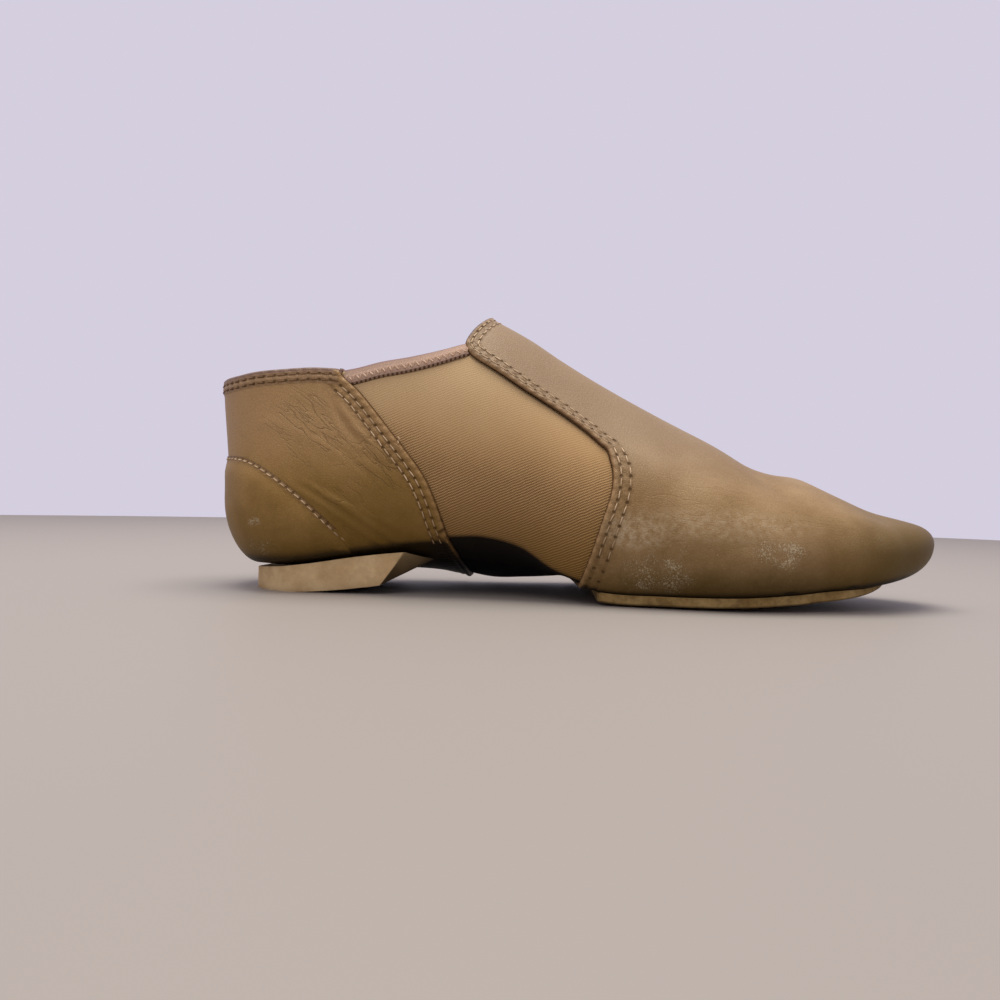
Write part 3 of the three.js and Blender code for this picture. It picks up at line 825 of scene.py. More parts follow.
class Effects:
    """Node groups that several finishes share."""

    def __init__(self) -> None:
        """Builds each group once."""
        vector = (0.0, 0.0, 0.0)
        self.grain = shader_group("leather_grain", {"Vector": vector}, ("Height", "Crevice"),
                                  self.fill_grain)
        self.wrinkle = shader_group("fine_wrinkles", {"Vector": vector}, ("Dip",),
                                    self.fill_wrinkle)
        self.scuff = shader_group(
            "scuff_patch", {"Vector": vector, "Region": 0.0, "Cover": 0.5, "Haze": 0.0},
            ("Mask",), self.fill_scuff)
        self.seam = shader_group(
            "seam_marks", {"Mark": vector, "First": 2.7, "Second": 5.6, "Pitch": 2.5},
            ("Holes", "Groove", "Edge", "Pucker", "Rim"), self.fill_seam)
        self.twill = shader_group("twill", {"Vector": vector, "Pitch": 1.1},
                                  ("Height", "Fuzz"), self.fill_twill)

    @staticmethod
    def fill_grain(n: Nodes, given: Given) -> Sequence[Socket]:
        """Pebbled leather grain in millimetres."""
        place = given("Vector")
        shift = n.add("TexNoise", {"Vector": place, "Scale": 0.8, "Detail": 1.0}).outputs[1]
        cells = n.add("TexVoronoi", {"Vector": n.vector("ADD", place, n.scaled(shift, 0.8)),
                                     "Scale": 1.3}, feature="DISTANCE_TO_EDGE").outputs[0]
        domes = n.step(cells, 0.0, 0.22)
        fine = n.noise(place, 5.0, 2.0)
        return n.math("MULTIPLY_ADD", fine, 0.35, n.times(domes, 0.65)), n.rest(domes)

    @staticmethod
    def fill_wrinkle(n: Nodes, given: Given) -> Sequence[Socket]:
        """Patches of fine creases that run along the vector's first part."""
        bend = n.add("TexNoise", {"Vector": given("Vector"), "Scale": 0.35}).outputs[1]
        place = n.vector("ADD", given("Vector"), n.scaled(bend, 1.8))
        ridges = n.math("ABSOLUTE", n.math("SUBTRACT", n.noise(place, 1.0, 1.0), 0.5))
        patch = n.step(n.noise(given("Vector"), 0.3, 2.0), 0.38, 0.58)
        return (n.times(n.rest(n.step(ridges, 0.0, 0.05)), patch),)

    @staticmethod
    def fill_scuff(n: Nodes, given: Given) -> Sequence[Socket]:
        """Broken white crumbs and a thin haze inside a soft region."""
        place, region = given("Vector"), given("Region")
        crumbs = n.noise(place, 2.0, 4.0, 0.72)
        patches = n.noise(place, 0.16, 2.0, 0.6)
        level = n.math("MULTIPLY_ADD", patches, 0.3, n.times(crumbs, 0.7))
        want = n.math("MULTIPLY_ADD", n.times(region, given("Cover")), -0.2, 0.70)
        over = n.step(n.math("SUBTRACT", level, want), 0.0, 0.09)
        spots = n.times(over, n.math("MINIMUM", n.times(region, 3.0), 1.0))
        cloud = n.times(n.step(n.noise(place, 0.5, 4.0, 0.7), 0.34, 0.72), region)
        return (n.math("MAXIMUM", spots, n.times(cloud, given("Haze"))),)

    @staticmethod
    def fill_seam(n: Nodes, given: Given) -> Sequence[Socket]:
        """Needle holes, the pressed lines of two stitch rows, the turned edge and its puckers."""
        split = n.add("SeparateXYZ", {0: given("Mark")})
        along, away = split.outputs[0], split.outputs[1]
        turn = n.math("DIVIDE", along, given("Pitch"))
        phase = n.math("SUBTRACT", n.math("FRACT", turn), 0.5)
        beside = n.times(n.math("SUBTRACT", 0.5, n.math("ABSOLUTE", phase)), given("Pitch"))
        holes, grooves = [], []
        for row in ("First", "Second"):
            off = n.math("SUBTRACT", away, given(row))
            far = n.math("SQRT", n.math("ADD", n.times(off, off), n.times(beside, beside)))
            holes.append(n.rest(n.step(far, 0.2, 0.75)))
            grooves.append(n.rest(n.step(n.math("ABSOLUTE", off), 0.25, 0.9)))
        edge = n.rest(n.step(away, 0.3, 2.2))
        band = n.rest(n.step(away, given("Second"), n.math("ADD", given("Second"), 1.6)))
        waves = n.math("SINE", n.math("MULTIPLY_ADD", turn, 2 * math.pi, n.times(away, 1.1)))
        rough = n.noise(given("Mark"), 0.9, 2.0)
        pucker = n.times(band, n.math("MULTIPLY_ADD", waves, 0.3, rough))
        rim = n.rest(n.step(away, 0.1, 0.6))
        return n.math("MAXIMUM", *holes), n.math("MAXIMUM", *grooves), edge, pucker, rim

    @staticmethod
    def fill_twill(n: Nodes, given: Given) -> Sequence[Socket]:
        """Ribs of a stretch twill along the vector's first part, with its cross threads."""
        split = n.add("SeparateXYZ", {0: given("Vector")})
        wobble = n.times(n.noise(given("Vector"), 0.25, 1.0), 0.6)
        lift = n.math("DIVIDE", n.math("ADD", split.outputs[2], wobble), given("Pitch"))
        turn = n.times(lift, 2 * math.pi)
        ribs = n.math("MULTIPLY_ADD", n.math("SINE", turn), 0.5, 0.5)
        cross = n.times(n.math("DIVIDE", split.outputs[0], given("Pitch")), 3 * math.pi)
        wave = n.math("SINE", n.math("ADD", cross, n.times(turn, 0.5)))
        threads = n.math("MULTIPLY_ADD", wave, 0.5, 0.5)
        height = n.math("MULTIPLY_ADD", threads, 0.25, n.times(ribs, 0.75))
        return height, n.noise(given("Vector"), 3.0, 3.0)


def started(name: str) -> tuple[Material, Nodes, bpy.types.Node, Socket]:
    """A material with its shader, and object coordinates in millimetres."""
    material = bpy.data.materials.new(name)
    material.use_nodes = True
    material.node_tree.nodes.clear()
    n = Nodes(material.node_tree)
    shader = n.add("BsdfPrincipled")
    n.add("OutputMaterial", {0: shader.outputs[0]})
    place = n.scaled(n.add("TexCoord").outputs["Object"], PER_METRE)
    return material, n, shader, place


def bumped(n: Nodes, shader: bpy.types.Node, *heights: tuple[Socket, float]) -> None:
    """Feeds the shader's normal from heights, each with its depth in millimetres."""
    total = None
    for socket, depth in heights:
        part = n.times(socket, depth * MM)
        total = part if total is None else n.math("ADD", total, part)
    bump = n.add("Bump", {"Strength": 1.0, "Distance": 1.0, "Height": total})
    n.fill(shader, {"Normal": bump.outputs[0]})


def linear(red: int, green: int, blue: int) -> tuple[float, float, float, float]:
    """A colour of a screen, as the shader's own numbers."""
    def one(value: int) -> float:
        """One channel."""
        share = value / 255
        return share / 12.92 if share <= 0.04045 else ((share + 0.055) / 1.055) ** 2.4
    return one(red), one(green), one(blue), 1.0


@dataclass(frozen=True)
class Scuff(Region):
    """A rubbed region: how much crumbles white, and how hazy it is."""

    cover: float = 1.0
    haze: float = 0.0


@dataclass(frozen=True)
class Tint(Region):
    """A region darkened towards a tone: painted shade."""

    colour: Colour
    amount: float = 0.5


@dataclass(frozen=True)
class Wrinkles(Region):
    """A region of fine creases that fall forward at an angle."""

    angle: float = 40.0
    depth: float = 0.2
    fineness: float = 0.6


@dataclass(frozen=True)
class Leather:
    """Soft garment leather with wear, and painted light: a painted sheen on top and painted shade
    low down, underneath and at edges.
    """

    name: str
    # crown: painted sheen, mixed in towards the top
    crown: Colour = (160, 128, 88)
    light: Colour = (154, 120, 70)
    deep: Colour = (134, 103, 52)
    # low: painted shade, mixed in below the heights in foot
    low: Colour = (86, 64, 10)
    foot: tuple[float, float] = (2.0, 58.0)
    rubbed: Colour = (186, 170, 138)
    lip: Colour = (148, 114, 74)
    # crevice: painted shadow, a dark line at the very edge
    crevice: Colour = (62, 38, 20)
    piping: Colour = (84, 66, 68)
    grain_depth: float = 0.05
    wrinkles: tuple[Wrinkles, ...] = ()
    marks: tuple[str, ...] = ()
    rows: tuple[float, float] = (2.7, 5.6)
    pitch: float = 3.65
    scuffs: tuple[Scuff, ...] = ()
    # painted_shades: regions darkened as painted shade
    painted_shades: tuple[Tint, ...] = ()
    piped_from: float = 200.0

    def base(self, n: Nodes, place: Socket) -> Socket:
        """The hide's colour: blotches, with a painted sheen that pales the top and painted shade
        that darkens the foot.
        """
        rise = n.height(place)
        blotch = n.noise(place, 0.045, 4.0, 0.55)
        colour = n.mix(n.step(blotch, 0.3, 0.7), self.deep, self.light)
        # painted sheen: paler towards the top
        colour = n.stain(colour, n.step(rise, 32.0, 58.0), 0.75, self.crown)
        # painted shade: darker towards the foot, at an uneven height
        uneven = n.math("MULTIPLY_ADD", n.noise(place, 0.09, 3.0, 0.6), 12.0, rise)
        return n.stain(colour, n.rest(n.step(uneven, *self.foot)), 0.9, self.low)

    def with_painted_shade(self, n: Nodes, place: Socket, colour: Socket) -> Socket:
        """Painted shade: the darkened regions and the dark underside."""
        for tint in self.painted_shades:
            colour = n.stain(colour, n.inside(place, tint), tint.amount, tint.colour)
        # painted shade: the downward-facing underside nearly black
        return n.stain(colour, n.below(0.55, 0.85), 0.92, (18, 13, 4))

    def material(self, effects: Effects) -> Material:
        """Builds the material.

        Args:
            effects: The shared groups.

        Returns:
            The material.
        """
        material, n, shader, place = started(self.name)
        grain = n.add("Group", {"Vector": place}, node_tree=effects.grain)
        freckle = n.noise(place, 0.6, 3.0, 0.6)
        colour = n.stain(self.base(n, place), n.step(freckle, 0.45, 0.75), 0.16, self.light)
        colour = n.stain(colour, grain.outputs["Crevice"], 0.22, SEAM_SHADE)
        heights = [(grain.outputs["Height"], self.grain_depth)]
        for area in self.wrinkles:
            scale = tuple(area.fineness * part for part in (0.2, 0.3, 1.0))
            group = n.add("Group", {"Vector": n.slanted(place, area.angle, scale)},
                          node_tree=effects.wrinkle)
            dip = n.times(group.outputs[0], n.inside(place, area))
            # painted shade in the crease dips
            colour = n.stain(colour, dip, 1.1 * area.depth, (84, 60, 30))
            heights.append((dip, -area.depth))
        white = None
        for scuff in self.scuffs:
            found = n.add("Group", {"Vector": place, "Region": n.inside(place, scuff),
                                    "Cover": scuff.cover, "Haze": scuff.haze},
                          node_tree=effects.scuff).outputs[0]
            white = found if white is None else n.math("MAXIMUM", white, found)
        rough = n.math("MULTIPLY_ADD", freckle, 0.16, 0.40)
        if white is not None:
            colour = n.stain(colour, white, 0.62, self.rubbed)
            rough = n.math("MULTIPLY_ADD", white, 0.3, rough)
            heights.append((white, 0.06))
        for name in self.marks:
            seam = n.add("Group", {"Mark": n.mark(name), "First": self.rows[0],
                                   "Second": self.rows[1], "Pitch": self.pitch},
                         node_tree=effects.seam).outputs
            # painted shade in the puckers, pressed grooves and needle holes, and a painted shadow
            # line at the very edge
            for key, amount, tone in (
                ("Edge", 0.55, self.lip), ("Pucker", 0.3, SEAM_SHADE),
                ("Groove", 0.35, SEAM_SHADE), ("Holes", 0.7, (64, 42, 18)),
                ("Rim", 0.8, self.crevice),
            ):
                colour = n.stain(colour, seam[key], amount, tone)
            high = n.step(n.height(place), self.piped_from, self.piped_from + 3.0)
            piped = n.times(n.step(seam["Edge"], 0.3, 0.6), high)
            colour = n.stain(colour, piped, 0.85, self.piping)
            heights += [(seam["Holes"], -0.25), (seam["Pucker"], 0.3)]
        n.fill(shader, {"Base Color": self.with_painted_shade(n, place, colour), "Roughness": rough,
                        "Specular IOR Level": 0.2, "Specular Tint": (1.0, 0.84, 0.55, 1.0),
                        "Coat Weight": 0.03, "Coat Roughness": 0.35})
        bumped(n, shader, *heights)
        return material


@dataclass(frozen=True)
class Twill:
    """Ribbed stretch fabric, drawn smooth towards its top, painted paler with height, with painted
    shade in its rib valleys and underneath.
    """

    name: str
    # top, middle and low: painted light, paler with height
    top: Colour = (184, 156, 114)
    middle: Colour = (170, 136, 92)
    low: Colour = (142, 110, 58)
    valley_shade: Colour = (100, 68, 30)
    pitch: float = 0.8
    slant: float = -24.0

    def material(self, effects: Effects) -> Material:
        """Builds the material."""
        material, n, shader, place = started(self.name)
        split = n.add("SeparateXYZ", {0: n.mark("flow")})
        hung = n.add("CombineXYZ", {0: split.outputs[0], 2: split.outputs[1]}).outputs[0]
        ribs = n.slanted(hung, self.slant, (1.0, 1.0, 1.0))
        height, fuzz = n.add("Group", {"Vector": ribs, "Pitch": self.pitch},
                             node_tree=effects.twill).outputs
        # painted light: paler towards the top, with noise
        blotch = n.math("MULTIPLY_ADD", n.noise(place, 0.05, 3.0), 14.0, n.height(place))
        colour = n.mix(n.step(blotch, 14.0, 48.0), self.low, self.middle)
        colour = n.mix(n.step(blotch, 50.0, 82.0), colour, self.top)
        drawn = n.math("MULTIPLY_ADD", split.outputs[0], 0.19, blotch)
        ribbed = n.rest(n.times(n.step(drawn, 38.0, 58.0), 0.85))
        # painted shade in the rib valleys
        colour = n.stain(colour, n.times(n.rest(height), ribbed), 0.85, self.valley_shade)
        colour = n.stain(colour, n.step(fuzz, 0.5, 0.75), 0.18, self.top)
        # painted shade: the downward-facing underside nearly black
        n.fill(shader, {"Base Color": n.stain(colour, n.below(0.5, 0.8), 0.98, (7, 5, 2)),
                        "Roughness": 0.9, "Specular IOR Level": 0.06, "Sheen Weight": 0.03,
                        "Sheen Roughness": 0.5})
        bumped(n, shader, (n.times(height, ribbed), 0.3), (fuzz, 0.06))
        return material


@dataclass(frozen=True)
class Elastic:
    """Woven elastic folded over the rim, with a dark fold line and a dotted lower edge."""

    name: str
    light: Colour = (184, 157, 134)
    deep: Colour = (160, 127, 104)
    line: Colour = (112, 86, 86)
    dots: Colour = (72, 44, 24)
    height: float = 4.3
    wale: float = 0.62
    course: float = 0.5
    overcast: float = 1.5

    def material(self) -> Material:
        """Builds the material."""
        material, n, shader, place = started(self.name)
        split = n.add("SeparateXYZ", {0: n.mark("strip")})
        along, depth = split.outputs[0], split.outputs[1]

        def wave(way: Socket, pitch: float) -> Socket:
            """A sine with a pitch in millimetres."""
            return n.math("SINE", n.times(way, 2 * math.pi / pitch))

        weave = n.math("MULTIPLY_ADD", n.times(wave(along, self.wale), wave(depth, self.course)),
                       0.5, 0.5)
        fuzz = n.noise(place, 3.0, 3.0, 0.6)
        colour = n.mix(n.step(n.math("MULTIPLY_ADD", weave, 0.5, fuzz), 0.4, 1.1), self.deep,
                       self.light)
        colour = n.stain(colour, n.rest(n.step(depth, -0.35, 0.35)), 0.85, self.line)
        overcast = n.step(wave(along, self.overcast), -0.3, 0.6)
        rim = n.times(n.step(depth, self.height - 0.35, self.height),
                      n.math("MULTIPLY_ADD", overcast, 0.5, 0.45))
        n.fill(shader, {"Base Color": n.mix(rim, colour, self.dots), "Roughness": 0.8,
                        "Specular IOR Level": 0.25})
        bumped(n, shader, (weave, 0.08), (fuzz, 0.08), (rim, -0.2))
        return material


@dataclass(frozen=True)
class Napped:
    """Suede, board, knitted lining or thread: a matt finish with a nap, dirt and, where asked,
    painted shade.
    """

    name: str
    light: Colour
    deep: Colour
    nap: float = 0.08
    scale: float = 2.5
    grime: float = 0.0
    grime_colour: Colour = (96, 78, 58)
    # foot and foot_shade_colour: painted shade, darker towards the bottom
    foot: float = 0.0
    foot_shade_colour: Colour = (84, 60, 28)
    # under: painted shade on downward faces
    under: float = 0.0
    # front and shade_plane_lean: painted shade on a front facet past a plane that leans back with
    # height
    front: tuple[float, float] | None = None
    shade_plane_lean: float = 0.62

    def material(self) -> Material:
        """Builds the material."""
        material, n, shader, place = started(self.name)
        nap = n.noise(place, self.scale, 4.0, 0.65)
        blotch = n.noise(place, 0.12, 4.0, 0.6)
        colour = n.mix(n.step(blotch, 0.32, 0.68), self.deep, self.light)
        colour = n.stain(colour, n.step(nap, 0.4, 0.7), 0.25, self.light)
        if self.grime:
            dirt = n.step(n.noise(place, 0.3, 5.0, 0.7), 0.42, 0.72)
            colour = n.stain(colour, dirt, self.grime, self.grime_colour)
        # painted shade towards the bottom
        if self.foot:
            foot = n.rest(n.step(n.height(place), 4.0, 40.0))
            colour = n.stain(colour, foot, self.foot, self.foot_shade_colour)
        # painted shade on downward faces
        if self.under:
            colour = n.stain(colour, n.below(0.1, 0.5), self.under, (34, 26, 12))
        # painted shade on the front facet, darkest past its second threshold
        if self.front:
            ahead = n.vector("DOT_PRODUCT", place, (1.0, 0.0, -self.shade_plane_lean))
            shaded_facet = n.step(ahead, self.front[0], self.front[0] + 0.8)
            colour = n.stain(colour, shaded_facet, 0.6, (60, 44, 16))
            colour = n.stain(colour, n.step(ahead, *self.front), 0.85, (24, 17, 6))
        n.fill(shader, {"Base Color": colour, "Roughness": 0.9, "Specular IOR Level": 0.2})
        bumped(n, shader, (nap, self.nap))
        return material


# ---------------------------------------------------------------- stitches


@dataclass
class Stitching:
    """Runs of separate stitches, joined into one piece."""

    name: str
    slot: str
    pitch: float = 0.00365
    length: float = 0.0027
    width: float = 0.00045
    seed: int = 7
    bm: Mesh = field(default_factory=bmesh.new)

    def __post_init__(self) -> None:
        """Starts the draws of small uneven turns."""
        self.random = np.random.default_rng(self.seed)

    def stitch(self, middle: Vector, along: Vector, up: Vector, length: float) -> None:
        """Adds one stitch.

        Args:
            middle: Its middle on the surface.
            along: Its direction.
            up: The surface's normal.
            length: Its length.
        """
        aside = up.cross(along).normalized()
        along = aside.cross(up).normalized()
        yaw = float(self.random.normal(0.0, 0.05))
        along, aside = along + aside * yaw, aside - along * yaw
        half = self.width / 2
        frame_ = Matrix((along * length / 2, aside * half, up * half)).transposed()
        place = Matrix.Translation(middle + up * self.width * 0.18) @ frame_.to_4x4()
        bmesh.ops.create_uvsphere(self.bm, u_segments=8, v_segments=5, radius=1.0,
                                  matrix=place @ Matrix.Rotation(math.pi / 2, 4, "Y"))

    def row(self, seam: Seam, inward: Vector, distance: float, on: BVHTree, start: float = 0.0,
            stop: float = 1.0) -> None:
        """Adds a row of stitches beside a seam.

        Args:
            seam: The edge that they follow.
            inward: Rough direction from the edge into the panel.
            distance: How far in.
            on: The panel's surface.
            start: Share of the seam where the row starts.
            stop: Share where it ends.
        """
        total = seam.lengths[-1]
        places = np.arange(math.ceil(total * start / self.pitch) + 0.5, total * stop / self.pitch)
        for place in places * self.pitch:
            seat, tangent = seam.beside(place, inward, distance)
            near, up, _, _ = on.find_nearest(seat)
            self.stitch(near, tangent, up, self.length)

    def build(self, material: Material) -> bpy.types.Object:
        """Makes the piece."""
        bmesh.ops.recalc_face_normals(self.bm, faces=self.bm.faces)
        return finished(self.bm, self.name, self.slot, (), material)


# ---------------------------------------------------------------- the shoe


@dataclass(frozen=True)
class Crease:
    """A soft fold of the inner side, drawn in side view in millimetres."""

    start: tuple[float, float]
    end: tuple[float, float]
    width: float
    height: float
    bow: float = 0.0
    side: Side = Side.INNER

    def lift(self, points: Array, sizes: ShoeSizes) -> Array:
        """Height that the fold adds at each point.

        Args:
            points: Points in the frame's axes.
            sizes: The shoe's sizes.

        Returns:
            Heights in metres.
        """
        flat = np.stack([points[:, 0] + sizes.middle_x, points[:, 2]], -1) / MM
        start, end = np.array(self.start), np.array(self.end)
        run = end - start
        share = (flat - start) @ run / (run @ run)
        across = (flat - start) @ np.array([-run[1], run[0]]) / np.linalg.norm(run)
        across = across - self.bow * 4 * share * (1 - share)
        ends = ramp(share, -0.15, 0.2) * (1 - ramp(share, 0.8, 1.15))
        here = ramp(points[:, 1] * self.side.value, -2 * MM, 8 * MM)
        return hump(across, 0.0, self.width) * ends * here * self.height * MM


def rolled(away: Array, rows: Sequence[float], radius: float = 1.0 * MM,
           puff: float = 0.35 * MM) -> Array:
    """Height of a turned and stitched edge at a distance in from it.

    Args:
        away: Distances from the edge.
        rows: Distances of the stitch rows, in millimetres.
        radius: Rounding of the edge.
        puff: How far the fold stands proud.

    Returns:
        Heights in metres.
    """
    near = np.clip(1 - away / radius, 0, 1)
    height = -radius * (1 - np.sqrt(1 - near * near))
    height = height + puff * hump(away, 1.3 * MM, 1.0 * MM)
    for row in rows:
        height = height - 0.2 * MM * hump(away, row * MM, 0.45 * MM)
    return height


QUARTER_EDGES = ("inner_edge", "outer_edge")


@dataclass
class HeelCup:
    """The quarter, the counter over it and the band round the collar."""

    last: Last
    quarter_rows: tuple[float, float] = (2.9, 5.2)
    counter_row: float = 0.8
    counter_pitch: float = 0.003
    counter_length: float = 0.0021
    counter_reach: float = 60.0
    counter_wall: float = 0.7 * MM
    band_height: float = 4.6
    band_outer: float = 1.1
    band_reach: float = 46.9
    band_rows: tuple[float, float] = (1.5, 3.5)
    quarter_faces: tuple[int, int] = (320, 150)
    counter_faces: tuple[int, int] = (200, 70)
    loose_end: Triple = (-0.0535, -0.032, 0.0503)
    creases: tuple[Crease, ...] = (
        Crease((36.5, 36.4), (64.8, 18.6), 0.8, 0.28, 0.5),
        Crease((34.0, 34.0), (61.3, 16.5), 0.7, 0.22, 0.4),
        Crease((44.0, 31.6), (67.6, 21.5), 0.9, 0.2, 0.5),
        Crease((35.5, 35.0), (63.2, 17.4), 0.6, -0.16, 0.4),
        Crease((40.0, 36.0), (68.0, 19.4), 1.4, -0.14, 0.5),
        Crease((32.0, 32.6), (58.0, 16.0), 1.2, -0.12, 0.4),
        Crease((47, 62), (56, 51), 0.8, 0.3, -0.6),
        Crease((45, 60.5), (54, 49), 0.9, -0.35, -0.6),
        Crease((50, 55), (63, 44), 0.8, 0.28, 0.6),
        Crease((40, 52), (58, 38), 0.9, -0.25, 0.8),
        Crease((43, 66), (52, 52), 1.4, -0.18, -1.0),
        Crease((46, 60), (60, 47), 1.2, 0.16, 1.0),
        Crease((30, 62), (46, 55), 1.8, -0.15, 1.0),
        Crease((20, 56), (50, 44), 2.4, 0.2, 1.5),
        Crease((52, 46), (68, 38), 1.3, -0.2, 1.0),
        Crease((24, 64), (44, 52), 1.5, 0.24, 1.0, Side.OUTER),
        Crease((40, 36), (64, 22), 1.6, -0.4, 1.0, Side.OUTER),
        Crease((44, 38), (66, 25), 1.2, 0.3, 1.0, Side.OUTER),
    )

    def __post_init__(self) -> None:
        """Finds the seams on the quarter's face and on the counter's."""
        sizes = self.last.sizes
        skin = Skin(self.last, sizes.leather_face)
        self.front = skin.travels(SideLine(QUARTER_ROWS, sizes))
        self.tops = {side: skin.rows(SideLine(COLLAR_ROWS, sizes), side) for side in Side}
        over = Skin(self.last, sizes.counter_face)
        self.counter_tops = {side: over.rows(SideLine(COUNTER_ROWS, sizes), side, 0.3)
                             for side in Side}

    def around(self, heading: Array, row: Array) -> Places:
        """Travel and girth of a signed travel, negative on the inner side, and a row."""
        return np.abs(heading), np.where(heading < 0, row, GIRTH - row)

    def top_row(self, heading: Array, tops: dict[Side, Array]) -> Array:
        """Row of a top line at a signed travel."""
        read = {side: np.interp(np.abs(heading), self.last.travels, tops[side]) for side in Side}
        blend = ramp(heading, -0.05, 0.05)
        return read[Side.INNER] * (1 - blend) + read[Side.OUTER] * blend

    def front_travel(self, girth: Array) -> Array:
        """Travel of the quarter's front edge at a girth."""
        return np.interp(np.mod(girth, GIRTH), self.last.girths, self.front)

    @staticmethod
    def spaced(share: Array) -> Array:
        """Even steps up the wall for a share of the rows."""
        return np.interp(share, [0, 0.16, 0.32, 1], [0, 0.32, 0.645, 1])

    def lay_quarter(self, a: Array, b: Array) -> Places:
        """Lays the quarter's grid: a round the heel, b from the floor to the collar."""
        eased = a - 0.5 * np.sin(2 * math.pi * a) / (2 * math.pi)
        row = self.spaced(b) * 3.1
        heading = eased
        for _ in range(5):
            heading = (-self.front_travel(row) * (1 - eased)
                       + self.front_travel(GIRTH - row) * eased)
            row = self.spaced(b) * self.top_row(heading, self.tops)
        return self.around(heading, row)

    def front_seam(self, side: Side) -> Seam:
        """The quarter's front edge on one side, from the collar down to the floor."""
        travel = np.full(1, 1.08)
        for _ in range(5):
            tops = np.interp(travel, self.last.travels, self.tops[side])
            travel = self.front_travel(side.girth(tops))
        girth = side.girth(np.linspace(float(tops[0]), 0.0, 200))
        return seam_on(self.last, self.front_travel(girth), girth, self.last.sizes.leather_face)

    def rim_seam(self, tops: dict[Side, Array], reach: float, out: float) -> Seam:
        """A top line round the heel, from the inner side to the outer."""
        heading = np.linspace(-reach, reach, 400)
        return seam_on(self.last, *self.around(heading, self.top_row(heading, tops)), out)

    def build_quarter(self, material: Material, thread: Material) -> None:
        """Builds the quarter and its stitches."""
        sizes = self.last.sizes
        seams = {name: self.front_seam(side) for name, side in zip(QUARTER_EDGES, Side)}

        def relief(points: Array, marks: Marks) -> Array:
            """Turned front edges and the folds of wear."""
            away = np.minimum(*(marks[name][:, 1] for name in QUARTER_EDGES))
            calm = ramp(away, 5 * MM, 9 * MM)
            folds = sum(c.lift(points, sizes) for c in self.creases)
            return rolled(away, self.quarter_rows) + folds * calm

        bm = laid_grid(self.last, self.lay_quarter, self.quarter_faces, sizes.leather_face, seams,
                       relief)
        on = BVHTree.FromBMesh(bm)
        finished(bm, "quarter_leather", "quarter_leather", ("heel_quarter",), material,
                 sizes.leather)
        rows = Stitching("quarter_stitches", "quarter_leather", seed=11)
        for seam in seams.values():
            for distance in self.quarter_rows:
                rows.row(seam, Vector((-1, 0, 0.2)), distance * MM, on, 0.02, 0.74)
        near, up, _, _ = on.find_nearest(Vector(self.loose_end))
        for k, lean in enumerate((0.3, -0.2)):
            middle = near + Vector((0.2 * k, -0.3, 0.5 + 1.2 * k)) * MM
            rows.stitch(middle, Vector((lean, 0, 1)), up, 1.5 * MM)
        rows.build(thread)

    def lay_counter(self, a: Array, b: Array) -> Places:
        """Lays the counter's grid: a round the heel, b from the floor to its top edge."""
        heading = (2 * a - 1) * self.last.travel_at(self.counter_reach)
        share = b + 0.35 * np.sin(2 * math.pi * b) / (2 * math.pi) * b
        return self.around(heading, share * self.top_row(heading, self.counter_tops))

    def build_counter(self, material: Material, thread: Material) -> None:
        """Builds the counter and its one row of stitches."""
        sizes = self.last.sizes
        edge = self.rim_seam(self.counter_tops, self.last.travel_at(self.counter_reach),
                             sizes.counter_face)

        def relief(points: Array, marks: Marks) -> Array:
            """A skived edge that lies down on the quarter."""
            away = marks["top_edge"][:, 1]
            sink = -1.05 * MM * (1 - ramp(away, 0.0, 6 * MM))
            sink = sink - 1.3 * MM * (1 - ramp(points[:, 2], 5 * MM, 28 * MM))
            return sink - 0.12 * MM * hump(away, self.counter_row * MM, 0.5 * MM)

        bm = laid_grid(self.last, self.lay_counter, self.counter_faces, sizes.counter_face,
                       {"top_edge": edge}, relief)
        on = BVHTree.FromBMesh(bm)
        finished(bm, "counter_leather", "counter_leather", ("heel_counter",), material,
                 self.counter_wall)
        row = Stitching("counter_stitches", "counter_leather", pitch=self.counter_pitch,
                        length=self.counter_length, seed=12)
        row.row(edge, DOWN, self.counter_row * MM, on, 0.05, 0.95)
        row.build(thread)

    def build_band(self, material: Material, thread: Material) -> None:
        """Builds the folded band round the collar and its two rows."""
        reach = self.last.travel_at(self.band_reach)
        strip = FoldedStrip(self.last, "collar_band", "collar_leather", ("heel_collar_band",),
                            outer=self.band_outer * MM, height=self.band_height * MM,
                            rows=self.band_rows)
        heading = np.linspace(-reach, reach, 300)
        strip.build(*self.around(heading, self.top_row(heading, self.tops)), material)
        strip.stitch(thread, 13)


